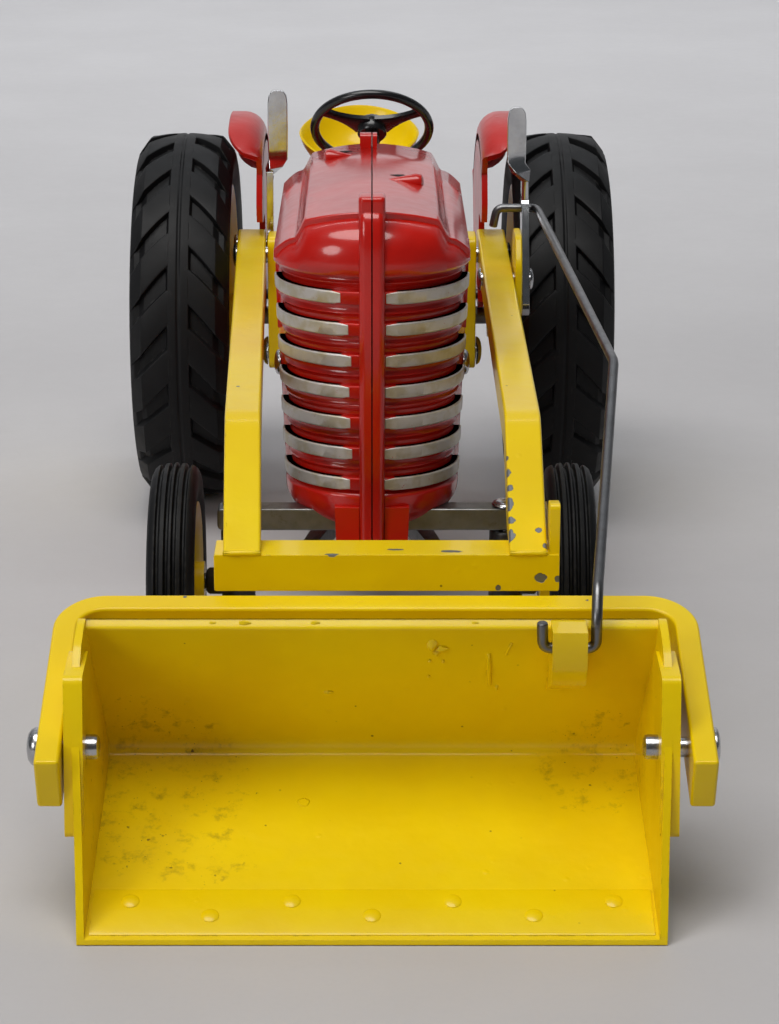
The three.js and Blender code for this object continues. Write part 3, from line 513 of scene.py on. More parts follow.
def silver_paint():
    """Aluminium paint wiped over the grille bars, thin enough in places for the red to show."""
    n = Nodes("silver_paint")
    tint = n.mix(n.ramp(n.noise(3.2, 4), 0.42, 0.68), (0.57, 0.54, 0.52), (0.48, 0.43, 0.33))
    thin = n.ramp(n.noise(1.1, 6, roughness=0.72), 0.63, 0.7)
    colour = n.mix(n.math("MULTIPLY", thin, 0.8), tint, RED_DEEP)
    rough = n.between(n.noise(1.3, 4), 0.34, 0.56)
    normal = n.bump(n.noise(0.9, 4), 0.3, 0.12)
    metallic = n.between(thin, 0.6, 0.0)
    return n.finish(colour, rough, metallic, normal, 0.1)


def plastic(name, tone):
    n = Nodes(name)
    colour = n.mix(n.ramp(n.noise(5, 4), 0.4, 0.75), tone, tuple(c * 1.9 for c in tone))
    rough = n.between(n.noise(2.5, 4), 0.16, 0.34)
    return n.finish(colour, rough, 0.0, n.bump(n.noise(2, 3), 0.12, 0.12), 0.2)


ARM_CHIPS = (
    ((24.3, -189, 63.8), 0.6), ((24.4, -192, 62), 0.9, (1, 0.7, 0.7)), ((24.6, -195.5, 59.9), 0.8),
    ((24.5, -198.5, 58), 1.0, (1, 0.6, 0.6)), ((24.6, -202, 56), 0.9), ((24.5, -205, 54.1), 1.0, (1, 0.7, 0.7)),
    ((29.6, -204, 54.6), 0.6), ((31, -207.3, 52.8), 0.7), ((-25.6, -160, 69.5), 0.4),
)
ARM_LUMPS = (
    ((-27.4, -181, 69), 0.9), ((-27.2, -184.5, 67), 0.8), ((-27, -189, 64.2), 0.6), ((-26.5, -203, 55.4), 0.6),
)
BAR_CHIPS = (
    ((29.8, -209, 47.4), 0.9, (0.8, 1, 1)), ((22.4, -209, 45.6), 0.5), ((32.9, -209, 47.2), 0.6),
    ((14, -207, 51.7), 0.6, (0.3, 1, 1)), ((4, -206, 51.7), 0.5, (0.35, 1, 1)), ((-7, -208.6, 51.5), 0.4, (0.3, 1, 1)),
    ((-27.6, -208, 51), 0.5),
)
YOKE_CHIPS = (((-52, -237, 37), 0.5), ((38, -213, 45), 0.5), ((-20, -214, 45), 0.5), ((-33, -212, 45), 0.35))
BUCKET_DIRT = (
    ((-40, -221, 17), 12), ((-33, -224, 14), 11), ((-42, -236, 10), 9), ((-47, -243, 28), 4),
    ((38, -222, 16), 9), ((44, -226, 20), 6), ((-30, -238, 8), 9), ((40, -217, 24), 5),
)
BUCKET_LUMPS = (
    ((-12, -228, 13), 1.3), ((17, -223.4, 45), 2.6, (0.45, 1, 1.6)), ((14.5, -222, 41), 1.2),
    ((19.5, -222, 40.5), 0.9), ((-9, -219, 29), 0.9),
)

yellow = enamel("yellow_enamel", YELLOW_LIGHT, YELLOW_DEEP)
yellow_arms = enamel("yellow_arms", YELLOW_LIGHT, YELLOW_DEEP, chips=ARM_CHIPS, lumps=ARM_LUMPS, edge_darkening=0.45)
yellow_bar = enamel("yellow_crossbar", YELLOW_LIGHT, YELLOW_DEEP, chips=BAR_CHIPS, edge_darkening=0.6)
yellow_yoke = enamel("yellow_yoke", YELLOW_LIGHT, YELLOW_DEEP, chips=YOKE_CHIPS, edge_darkening=0.45)
yellow_bucket = enamel("yellow_bucket", YELLOW_LIGHT, YELLOW_DEEP, chips=(((-45.6, -243, 27.5), 1.1, (1, 1, 0.7)),),
                       dirt=BUCKET_DIRT, lumps=BUCKET_LUMPS, edge_darkening=0.5)
red = enamel("red_enamel", RED_LIGHT, RED_DEEP, edge_darkening=0.35)
red_body = enamel("red_castings", RED_LIGHT, RED_DEEP, edge_darkening=0.4, coat=0.9)
# Near-black material used as painted shade along the body seam and behind the hood bumps.
painted_shade_black = rubber("painted_shade_black", (0.004, 0.003, 0.003))
black_enamel = enamel("black_enamel", (0.012, 0.012, 0.013), (0.02, 0.019, 0.018), edge_darkening=0.2)
silver = silver_paint()
chrome = bare("chrome", (0.72, 0.73, 0.75), 0.11, stained=0.12)
rivet_metal = bare("rivet_metal", (0.55, 0.55, 0.56), 0.24, stained=0.3)
zinc = bare("zinc", (0.27, 0.27, 0.265), 0.4, stained=0.35)
rod_metal = bare("rod_metal", (0.2, 0.2, 0.205), 0.36, stained=0.3)
steel = bare("dark_steel", (0.12, 0.12, 0.125), 0.42, stained=0.45)
tyre_rubber = rubber("tyre_rubber", (0.005, 0.005, 0.0056))
black_plastic = plastic("black_plastic", (0.008, 0.008, 0.009))


# ---------------------------------------------------------------- body castings
SEAM = 0.13
NOSE_Y = -134.0
NOSE_DEPTH = 0.93
BAR_COUNT, BAR_TOP, BAR_PITCH, BAR_HEIGHT, BAR_PROUD = 7, 84.6, 6.32, 2.6, 1.4
CAP_BOTTOM = 89.3
BAR_HEIGHTS = [BAR_TOP - i * BAR_PITCH for i in range(BAR_COUNT)]


def nose_radius(z):
    """The nose's half-width at a height: nearly straight, and tucked in at the bottom."""
    radius = 17.4 + (z - 43) * 2.0 / 46.4
    if z < 43:
        radius = 17.4 * math.sqrt(max(0.0, 1 - ((43 - z) / 8.9) ** 2)) ** 0.9
    return radius


def grille_relief(z):
    """How far the surface is sunk between the bars, with a fine ridge halfway between two of them."""
    inside = min(max((z - 44.2) / 1.2, 0.0), 1.0) * min(max((CAP_BOTTOM - 0.2 - z) / 0.5, 0.0), 1.0)
    depth = -BAR_PROUD * inside
    for bar in BAR_HEIGHTS + [BAR_TOP + BAR_PITCH * 0.94]:
        depth += 0.55 * math.exp(-((z - bar + BAR_PITCH / 2) / 0.42) ** 2) * inside
    return depth


def nose_point(x_share, z, sunk):
    """A point on the nose's half-ellipse. x_share runs from 0 at the front to 1 at the side, then back."""
    radius = nose_radius(z) + sunk
    if x_share <= 1:
        a = x_share * math.pi / 2
        return (radius * math.sin(a), NOSE_Y - NOSE_DEPTH * radius * math.cos(a), z)
    back = (x_share - 1)
    fade = min(back / 0.25, 1.0)
    radius = radius - sunk * fade
    return (radius, NOSE_Y + back * 14.0, z)


def hood_height(x):
    """The hood's top surface at a distance from the centre: raised panel, ogee step, shoulder."""
    x = abs(x)
    if x <= 12.6:
        return 100.5 - 1.9 * (x / 12.6) ** 2
    if x <= 15.4:
        t = (x - 12.6) / 2.8
        return 98.6 - 4.0 * (3 * t * t - 2 * t ** 3)
    t = min((x - 15.4) / 3.9, 1.0)
    return 94.6 - 2.9 * t ** 1.5


def hood_front(x):
    return -140.2 - 6.0 * (1 - min(abs(x) / 19.3, 1.0) ** 2.2)


def rounded_slab(outline, width, radius):
    """A side view thickened outwards from the seam, its outer edge rounded back and down."""
    centre = Vector((sum(y for y, _ in outline), sum(z for _, z in outline))) / len(outline)
    rings = []
    for x, inset in [(SEAM, 0.0)] + [(width - radius * (1 - math.sin(a)), radius * (1 - math.cos(a)))
                                     for a in (math.radians(18 * i) for i in range(6))]:
        ring = []
        for y, z in outline:
            away = Vector((y, z)) - centre
            back = inset if away.x < 0 else -inset
            ring.append((x, y + back, z - (inset * 0.5 if away.y > 0.8 * abs(away.x) else 0.0)))
        rings.append(ring)
    return loft(rings)


def body_half(name, side):
    shapes = []
    heights = [34.2 + i * 0.36 for i in range(int((CAP_BOTTOM + 0.6 - 34.2) / 0.36))]
    shares = [0.004 + i / 26 for i in range(26)] + [1.0, 1.06, 1.14, 1.25, 1.6, 2.0]
    rows = []
    for z in heights:
        row = [nose_point(s, z, grille_relief(z)) for s in shares]
        row[0] = (SEAM, row[0][1], z)
        rows.append(row + [(SEAM, NOSE_Y + 14, z)])
    shapes.append(loft(rows))

    # The nose cap: a bulge whose lower edge stands out over the top bar.
    rows = []
    for j in range(15):
        t = j / 14
        rise = math.sin(t * math.pi / 2) ** 0.75
        pull = math.cos(t * math.pi / 2 * 0.86) ** 0.62
        row = []
        for i in range(25):
            a = i / 24 * math.pi / 2
            x = max(20.0 * math.sin(a) ** 0.92 * (0.86 + 0.14 * pull), SEAM)
            y = NOSE_Y - 18.2 * math.cos(a) * pull
            top = hood_height(min(x, 18.8)) - 0.75
            row.append((min(x, 19.35), y, CAP_BOTTOM + 0.1 + (top - CAP_BOTTOM) * rise))
        rows.append(row + [(19.35, NOSE_Y + 3, row[-1][2]), (SEAM, NOSE_Y + 3, row[-1][2])])
    lip = [(min(x, 19.1) * 0.985 if x > 1 else x, y + 0.35, CAP_BOTTOM - 0.45) for x, y, _ in rows[0]]
    shapes.append(loft([lip] + rows))

    # The hood, from its bowed front edge to the dash.
    xs = [SEAM + (12.6 - SEAM) * i / 10 for i in range(11)] + [12.6 + 2.8 * i / 8 for i in range(1, 9)]
    xs += [15.4 + 3.9 * i / 6 for i in range(1, 7)]
    section = [(x, hood_height(x)) for x in xs] + [(19.3, 90.2), (SEAM, 90.2)]
    rings = []
    for share, drop in ((0, 0.9), (0, 0.25), (0.004, 0.0), (0.06, 0), (0.25, 0), (0.5, 0), (0.75, 0), (0.985, 0),
                        (1, 0.5)):
        ring = []
        for x, z in section:
            start = hood_front(x)
            ring.append((max(x - drop * 0.4, SEAM) if x > 15 else x, start + (-70 - start) * share,
                         z - drop if z > 91 else z))
        rings.append(ring)
    shapes.append(loft(rings))
    skirt = [(SEAM, 74), (18.9, 74), (19.15, 82), (19.3, 90.4), (SEAM, 90.4)]
    shapes.append(prism(skirt, -131.5, -70, "y"))

    # Centre rib, radiator cap, pedestal, small post and bump.
    front = NOSE_Y - NOSE_DEPTH * 19.4 - 1.15
    rib = rounded([
        (-140, 33), (-151.2, 31.2), (front + 1.3, 40), (front + 0.25, 50), (front, 84), (front - 0.1, 92),
        (front + 0.3, 97), (front + 1.8, 101.4), (-146, 102.6), (-140, 100),
    ], [3, 2, 3, 3, 3, 3, 2, 2, 2, 2], 5)
    shapes.append(rounded_slab(rib, 2.5, 1.3))
    cap = rounded([(front + 2.5, 98), (front + 2.3, 104.2), (front + 7.4, 104.4), (front + 8, 98)], 0.9, 4)
    shapes.append(rounded_slab(cap, 2.6, 0.9))
    pedestal = [(SEAM, 30.4), (6.6, 30.4), (7.0, 32), (7.4, 42), (SEAM, 42)]
    shapes.append(prism(pedestal, -150.4, -133, "y"))
    low, high, y = (1.0, 10.6, -111.5) if side > 0 else (2.0, 10.4, -83.5)
    bump = [(0, low), (0.35, low + 0.8), (1.0, low + 4), (1.85, high - 1.6), (1.6, high - 0.5), (0.8, high - 0.1),
            (0, high)]
    shapes.append(lathe(bump, 20, (0, y, 99.7)))
    post = rounded([(-77, 98), (-77, 103.6), (-73.8, 103.6), (-73.8, 98)], 1.0)
    shapes.append(prism(post, SEAM, 2.6 if side < 0 else 1.1, "x"))

    # Engine, gearbox and rear housings, each a casting with a flange at its joint.
    def housing(outline, y0, y1):
        shapes.append(prism(rounded(outline, 2.0, 3), y0, y1, "y"))

    housing([(SEAM, 36), (7, 36), (12.5, 42), (13.5, 76), (SEAM, 76)], -121, -66)
    housing([(SEAM, 34.4), (9.5, 34.4), (14.6, 40), (15.8, 60), (11, 69.6), (SEAM, 69.6)], -69.5, -64)
    housing([(SEAM, 35.4), (9, 35.4), (14, 41), (15, 60), (10, 68.6), (SEAM, 68.6)], -65, -33)
    housing([(SEAM, 34), (13, 34), (18, 39), (18.5, 56), (13, 66), (SEAM, 66)], -34.5, 15)
    housing([(SEAM, 38), (21.1, 38.6), (21.1, 58), (SEAM, 58)], -31, -21)
    shapes.append(prism(rounded([(-112, 44), (-112, 70), (-74, 70), (-74, 44)], 3), 11, 14.6, "x"))
    shapes.append(prism(rounded([(-106, 37.5), (-106, 42), (-78, 42), (-78, 37.5)], 1.5), 6, 13.4, "x"))
    for k in range(5):
        y = -107 + k * 7.2
        shapes.append(lathe([(0, 13), (1.5, 13), (1.5, 15.1), (1.1, 15.5), (0, 15.5)], 16, (0, y, 66)))
    shapes.append(lathe([(0, 11), (3.4, 11), (3.4, 14.8), (2.8, 15.6), (0, 15.8)], 24, (0, -92, 52)))
    tube = [(0, 10), (11, 10), (11, 20), (10, 20.6), (10, 24.2), (9.2, 25.2), (0, 25.2)]
    shapes.append(lathe(tube, 40, (0, 0, REAR_AXLE_Z)))
    shapes.append(prism([(SEAM, 30), (3.6, 30), (4, 37), (SEAM, 37)], -80, -70, "y"))
    half = [mirrored(s, side) for s in shapes]
    piece(f"body_{name}", half, red_body, "tractor", [f"body_{name}"], "red_paint", bevel=0.35, bends=3, angle=38)


def grille_bars(name, side):
    """Raised bars round one half of the nose, each with aluminium paint on its face."""
    painted, cores = [], []
    for number, z in enumerate(BAR_HEIGHTS):
        section = [(-BAR_HEIGHT / 2, -1.6), (-BAR_HEIGHT / 2, -0.15), (-BAR_HEIGHT / 2 + 0.25, 0.04),
                   (BAR_HEIGHT / 2 - 0.25, 0.04), (BAR_HEIGHT / 2, -0.15), (BAR_HEIGHT / 2, -1.6)]
        start = 0.09 if side > 0 else (0.205 if number == 0 else 0.148 + 0.01 * math.sin(number * 2.3))
        for first, lift, target in ((0.08, 0.0, cores), (start, 0.09, painted)):
            rings = []
            for i in range(25):
                share = first + (1.05 - first) * i / 24
                taper = min(1.0, 0.82 + i * 0.1) if target is painted else 1.0
                rings.append([nose_point(share, z + dz * taper, out + (lift if out > -1 else 0))
                              for dz, out in section])
            target.append(mirrored(loft(rings), side))
    piece(f"grille_bars_{name}", cores, red, "tractor", slot="red_paint", bevel=0.12)
    piece(f"grille_paint_{name}", painted, silver, "tractor", slot="zinc", bevel=0.1)


def body_details():
    """Painted shade: a dark sheet for the shadow in the gap where the halves meet, and dark blobs for the shadowed
    slits behind the two bumps.
    """
    front = NOSE_Y - NOSE_DEPTH * 19.4 - 0.75
    seam = [(-149.6, 31.5), (front + 1.2, 41), (front + 0.1, 52), (front, 90), (front + 1.5, 96), (front + 4, 100),
            (front + 4, 103.2), (front + 6.6, 103.2), (front + 8.5, 99.9), (-71, 99.9), (-71, 75), (-67, 36),
            (-120, 36.5), (-134, 36)]
    # A dark sheet along the seam, painted shade for the gap between the halves.
    piece("body_seam", [prism(seam, -0.16, 0.16, "x")], painted_shade_black, "tractor", slot="steel")
    # Dark blobs on the hood, painted shade for the slits behind the two bumps.
    pocket_shadows = [blob((5.2, -106.8, 99.95), (2.9, 1.0, 0.5)), blob((-5.4, -79.5, 99.95), (2.6, 0.8, 0.5))]
    piece("hood_pocket_shadows", pocket_shadows, painted_shade_black, "tractor", slot="steel")


for name, side in SIDES:
    body_half(name, side)
    grille_bars(name, side)
body_details()


# ---------------------------------------------------------------- fasteners
def rivet(radius, x0, x1, height, y, z, heads="both", shank=None):
    """A domed rivet along x from one grip face to the other."""
    shank = shank or radius * 0.55
    dome = [(1.0, 0.0), (0.97, 0.3), (0.85, 0.62), (0.6, 0.86), (0.3, 0.97), (0.0, 1.0)]
    low = [(0, x0)] if heads == "high" else [(r * radius, x0 - h * height) for r, h in reversed(dome)]
    high = [(0, x1)] if heads == "low" else [(r * radius, x1 + h * height) for r, h in dome]
    return lathe(low + [(shank, x0), (shank, x1)] + high, 28, (0, y, z))


def upright_rivet(radius, x, y, z0, z1, height, heads="both", shank=None):
    points, faces = rivet(radius, z0, z1, height, 0, 0, heads, shank)
    return [(x - c, y + b, a) for a, b, c in points], faces


def spans(node):
    low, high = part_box(node)
    return [((low[i] - (AXLE_Y if i == 1 else 0)) / MM, (high[i] - (AXLE_Y if i == 1 else 0)) / MM) for i in range(3)]


for number in (1, 2, 3):
    node = f"body_rivet_{number}"
    centre, (x0, x1) = middle(node), spans(node)[0]
    piece(node, [rivet(2.6, x0 + 1.1, x1 - 1.1, 1.1, centre.y, centre.z)], rivet_metal, "tractor", [node], "steel")
mast_bolt = middle("mast_bolt")
bolt_x = spans("mast_bolt")[0]
piece("mast_bolt", [rivet(3.4, bolt_x[0] + 1.4, bolt_x[1] - 1.4, 1.4, mast_bolt.y, mast_bolt.z)], rivet_metal,
      "tractor", ["mast_bolt"], "steel")
rear_x = spans("rear_axle")[0]
piece("rear_axle", [rivet(4, rear_x[0] + 1.3, rear_x[1] - 1.3, 1.3, 0, REAR_AXLE_Z)], zinc, "tractor",
      ["rear_axle"], "zinc")
for node, radius in (("stay_screw_front", 2.6), ("stay_screw_rear", 2.6), ("drawbar_screw", 2.8)):
    centre, (z0, z1) = middle(node), spans(node)[2]
    piece(node, [upright_rivet(radius, centre.x, centre.y, z0 + 0.9, z1, 0.9, "low", 1.2)], steel, "tractor",
          [node], "steel")


# ---------------------------------------------------------------- front axle, steering and stay
FRONT_Y = middle("front_axle_beam").y
KINGPIN_X = abs(middle("kingpin_right").x)
ARM_REACH = 14.3

beam = rounded([(-31, 35.4), (31, 35.4), (31, 40), (-31, 40)], 1.2)
piece("front_axle_beam", [prism(beam, FRONT_Y - 2.5, FRONT_Y + 2.5, "y")], zinc, "tractor", ["front_axle_beam"],
      "zinc", bevel=0.45)
tie = rounded([(-29.6, -2.3), (29.6, -2.3), (29.6, 2.3), (-29.6, 2.3)], 2.2, 6)
tie = [(x, y + FRONT_Y + ARM_REACH) for x, y in tie]
piece("tie_rod", [prism(tie, 33.3, 35.1, "z")], steel, "tie_rod", ["tie_rod"], "steel", bevel=0.3)
for name, side in SIDES:
    x = side * KINGPIN_X
    piece(f"kingpin_{name}", [upright_rivet(3, x, FRONT_Y, 17, 40.3, 0.9, shank=1.5)], rivet_metal, "tractor",
          [f"kingpin_{name}"], "zinc")
    piece(f"tie_rod_pin_{name}", [upright_rivet(1.9, x, FRONT_Y + ARM_REACH, 30.9, 35.4, 0.9, shank=0.9)], steel,
          f"knuckle_{name}", [f"tie_rod_pin_{name}"], "steel")
    sleeve = [(1.65, 18.4), (3.1, 18), (3.4, 18.6), (3.4, 34.6), (3.1, 35.1), (1.65, 34.8), (1.65, 18.4)]
    stub = [(0, KINGPIN_X + 2.2), (2.7, KINGPIN_X + 2.2), (2.7, 32.8), (2.3, 33.4), (1.6, 33.4), (1.6, 43.4),
            (1.3, 43.7), (0, 43.7)]
    plate = rounded([(-2.4, -1), (2.4, -1), (2.4, ARM_REACH + 2.4), (-2.4, ARM_REACH + 2.4)], 2.3, 6)
    plate = [(x + a, FRONT_Y + b) for a, b in plate]
    piece(f"knuckle_{name}", [
        lathe(sleeve, 28, (x, FRONT_Y, 0), "z"),
        mirrored(lathe(stub, 24, (0, FRONT_Y, 24)), side),
        prism(plate, 31.2, 33, "z"),
    ], black_enamel, f"knuckle_{name}", [f"knuckle_{name}"], "black_paint", bevel=0.25)
    cap = [(0, 44.1), (2.9, 44.1), (2.8, 44.6), (2.2, 45.1), (1.2, 45.4), (0, 45.5)]
    piece(f"front_cap_{name}", [mirrored(lathe(cap, 28, (0, FRONT_Y, 24)), side)], rivet_metal,
          f"knuckle_{name}", [f"front_cap_{name}"], "zinc")

stay_outer = rounded([(-3.2, -74), (-15.2, -140.2), (-15.2, -147), (15.2, -147), (15.2, -140.2), (3.2, -74)], 1.4)
stay_inner = [(0, -90), (-12.4, -140.2), (12.4, -140.2)]
piece("front_stay", [prism(stay_outer, 26.2, 30, "z")], steel, "tractor", ["front_stay"], "steel", bevel=0.3,
      cuts=[prism(stay_inner, 20, 40, "z")])


# ---------------------------------------------------------------- wheels
def rear_tread(x):
    """The rear carcass's radius across its width, at the bottom of its grooves."""
    return 43.4 - 0.9 * (abs(x) / 8.5) ** 2 if abs(x) < 8.5 else 42.5 - (abs(x) - 8.5) * 1.5


def rear_tyre(side):
    """A carcass with a smooth centre band and wide slanting lugs that leave narrow grooves."""
    half = 11.75
    right = [(32.9, half * 0.72), (33.6, half * 0.83), (35.4, half * 0.93), (37.2, half * 0.985), (38.6, half),
             (40.2, half * 0.975), (41.3, half * 0.9), (rear_tread(9.2), 9.2)]
    crown = [(rear_tread(x), x) for x in (8, 6, 4, 2.8)] + [(44.75, 2.45), (44.85, 1.2), (44.85, 0.5), (44.6, 0.2)]
    outline = right + crown
    profile = outline + [(r, -t) for r, t in reversed(outline)] + [outline[0]]
    shapes = [lathe(profile, 96, (0, 0, REAR_AXLE_Z))]
    count = 20
    for number in range(count):
        for hand in (-1, 1):
            rings = []
            start = 2 * math.pi * (number + (0.35 if hand > 0 else 0)) / count
            for i in range(12):
                s = i / 11
                x = 1.6 + s * 9.8
                angle = start - 0.03 - 0.24 * s ** 1.2
                deep = rear_tread(min(x, 11.2)) - 0.6
                top = 44.83 - 0.75 * (x / 9) ** 2 if x < 8.8 else 44.1 - (x - 8.8) * 1.35
                wide = 4.75 + 0.75 * s
                ring = []
                for width, radius in ((-wide, deep), (-wide * 0.86, top - 0.12), (-wide * 0.7, top),
                                      (wide * 0.7, top), (wide * 0.86, top - 0.12), (wide, deep)):
                    a = angle + width / 44
                    ring.append((hand * x, -radius * math.cos(a), REAR_AXLE_Z + radius * math.sin(a)))
                rings.append(ring)
            shapes.append(loft(rings))
    x = side * 45.25
    return [([(px + x, py, pz) for px, py, pz in points], faces) for points, faces in shapes]


def front_tyre(side):
    outline = [(16.4, 3.3), (17.2, 4.0), (18.8, 4.55), (20.4, 4.75), (21.8, 4.6), (22.8, 4.15), (23.3, 3.5)]
    ribs = []
    for edge, deep in ((3.05, False), (2.75, True), (2.35, True), (2.05, False), (1.2, False), (0.95, True),
                       (0.5, True), (0.25, False)):
        ribs.append((22.75 if deep else 23.95 - 0.05 * edge ** 2, edge))
    outline += ribs
    profile = outline + [(r, -t) for r, t in reversed(outline)] + [outline[0]]
    return [lathe(profile, 80, (side * 39.4, FRONT_Y, 24))]


def disc_wheel(side, x, y, z, seat, half, hub, bore, inner, outer, bolts):
    """A pressed disc wheel with a hub boss, a raised ring and bolt heads."""
    profile = [
        (bore, inner), (hub, inner), (hub, -1.9), (hub + 1, -1.5), (seat * 0.55, -0.3), (seat - 5.6, 0.8),
        (seat - 4.2, -1.2), (seat - 3.4, -half * 0.6), (seat - 2.6, -half * 0.7), (seat + 1.2, -half * 0.92),
        (seat + 1.6, -half * 0.9), (seat + 1.5, -half * 0.8), (seat, -half * 0.66), (seat, half * 0.66),
        (seat + 1.5, half * 0.8), (seat + 1.6, half * 0.9), (seat + 1.2, half * 0.92), (seat - 2.6, half * 0.7),
        (seat - 3.4, half * 0.6), (seat - 4.4, 3.4), (seat - 5.6, 3.0), (seat * 0.62, 2.1), (seat * 0.58, 2.7),
        (seat * 0.52, 2.7), (seat * 0.48, 1.9), (hub + 1.2, 1.4), (hub, 1.8), (hub, outer - 0.5), (hub - 0.5, outer),
        (bore, outer), (bore, inner),
    ]
    shapes = [lathe(profile, 64)]
    ring = seat * 0.38 + hub * 0.35
    for k in range(bolts):
        a = 2 * math.pi * (k + 0.5) / bolts
        dome = [(0, 0.6), (hub * 0.2, 0.6), (hub * 0.2, 2.6), (hub * 0.13, 3.0), (0, 3.1)]
        shapes.append(lathe(dome, 12, (0, ring * math.cos(a), ring * math.sin(a))))
    shapes = [mirrored(s, side) for s in shapes]
    return [([(px + x, py + y, pz + z) for px, py, pz in points], faces) for points, faces in shapes]


for name, side in SIDES:
    piece(f"rear_tyre_{name}", rear_tyre(side), tyre_rubber, f"rear_wheel_{name}", [f"rear_tyre_{name}"], "tyre",
          bevel=0.28, angle=32)
    piece(f"front_tyre_{name}", front_tyre(side), tyre_rubber, f"front_wheel_{name}", [f"front_tyre_{name}"], "tyre",
          bevel=0.12, angle=40)
    piece(f"rear_wheel_{name}", disc_wheel(side, side * 45.25, 0, REAR_AXLE_Z, 31, 11.75, 5.4, 2.35, -16.7, 9.6, 6),
          yellow, f"rear_wheel_{name}", [f"rear_wheel_{name}"], "yellow_paint", bevel=0.15)
    piece(f"front_wheel_{name}", disc_wheel(side, side * 39.4, FRONT_Y, 24, 14.5, 4.75, 4, 1.7, -5.6, 4.4, 5),
          yellow, f"front_wheel_{name}", [f"front_wheel_{name}"], "yellow_paint", bevel=0.1)


# ---------------------------------------------------------------- fenders, seat, steering, drawbar
def fender(side):
    """A pressed plate with a flange that rolls outwards over the tyre and runs out at its front end."""
    crown = 50.2
    plate = arc((0, REAR_AXLE_Z), crown - 5.4, 36, 118.7, 30)
    plate += [(-24.4, 78), (-24, 75), (-22.6, 73), (-19, 72.4), (-9, 72.5), (-7.4, 71.6), (-7, 70), (-7, 50),
              (-5.6, 48.3), (10, 48), (13, 48.8), (26, 58), (31, 64)]
    shapes = [prism(plate, 26, 27.4, "x")]
    rings = []
    for i in range(49):
        angle = 36 + (118.7 - 36) * i / 48
        ends = min(1.0, (48 - i) / 9, i / 5)
        reach = 1.2 + 7.2 * math.sqrt(max(ends, 0.0) * (2 - ends))
        roll = min(5.2, reach)
        outer = [(26.0, crown - 7), (26.0, crown - roll)]
        outer += [(26 + roll - roll * math.cos(t), crown - roll + roll * math.sin(t))
                  for t in (math.radians(15 * k) for k in range(1, 7))]
        outer += [(26 + reach * 0.97, crown), (26 + reach, crown - 0.35), (26 + reach, crown - 0.9),
                  (26 + reach * 0.96, crown - 1.2)]
        inner = roll - 1.3 if roll > 1.6 else roll * 0.2
        outer += [(27.3 + inner - inner * math.cos(t), crown - 1.3 - inner + inner * math.sin(t))
                  for t in (math.radians(15 * k) for k in range(6, -1, -1))]
        outer.append((27.4, crown - 7))
        a = math.radians(angle)
        rings.append([(x, r * math.cos(a), REAR_AXLE_Z + r * math.sin(a)) for x, r in outer])
    shapes.append(loft(rings))
    return [mirrored(s, side) for s in shapes]


for name, side in SIDES:
    piece(f"fender_{name}", fender(side), red, "tractor", [f"fender_{name}"], "red_paint", bevel=0.3)
    centre = middle(f"fender_screw_{name}")
    screw = rivet(2, 20, 27.7, 0.5, centre.y, centre.z, "high", 1.2)
    piece(f"fender_screw_{name}", [mirrored(screw, side)], steel, "tractor", [f"fender_screw_{name}"], "steel")

SEAT = Vector((-3.2, 16, 79))
SEAT_TILT = math.radians(12)
seat_turn = Matrix.Translation(SEAT) @ Matrix.Rotation(SEAT_TILT, 4, "X")


def seat_pan():
    """A pressed pan with a rolled edge whose back sweeps up."""
    profile = [(0, 0), (4, 0.05), (8, 0.4), (10.6, 1.3), (12.5, 2.8), (13.8, 4.6), (14.3, 5.8), (14.6, 6.6), (14.2, 7.0),
               (13.6, 6.7), (13.0, 5.4), (11.7, 3.9), (10, 2.4), (7.5, 1.6), (4, 1.35), (0, 1.3)]
    points, faces = lathe(profile, 56, axis="z")
    lifted = [(x * 1.02, y * 0.95, z + 0.022 * max(0.0, y) ** 2 + 0.013 * x ** 2) for x, y, z in points]
    return turned((lifted, faces), seat_turn)


piece("seat_pan", [seat_pan()], yellow, "tractor", ["seat_pan"], "yellow_paint")
piece("seat_screw", [turned(upright_rivet(2.2, 0, 0, -2.1, 1.7, 0.9, shank=1.1), seat_turn)], rivet_metal, "tractor",
      ["seat_screw"], "steel")
slope = math.tan(SEAT_TILT)


def under(y):
    return SEAT.z + (y - SEAT.y) * slope - 0.3


strip = rounded([
    (-12, 66.3), (-3, 66.3), (1, 68.5), (7, 75), (9, under(9) - 1.4), (22, under(22) - 1.4), (22, under(22)),
    (8, under(8)), (5.6, 76), (-0.2, 69.6), (-3.6, 67.7), (-12, 67.7),
], [0.2, 2, 2, 2, 2, 0.2, 0.2, 2, 2, 2, 2, 0.2])
piece("seat_strip", [prism(strip, SEAT.x - 3.5, SEAT.x + 3.5, "x")], black_enamel, "tractor", ["seat_strip"],
      "black_paint", bevel=0.2)
piece("seat_strip_screw", [upright_rivet(2.6, SEAT.x, -8, 59, 68, 0.9, "high", 1.2)], steel, "tractor",
      ["seat_strip_screw"], "steel")

hub_turn = Matrix.Translation((0, -45, 99.4)) @ Matrix.Rotation(-math.radians(45), 4, "X")


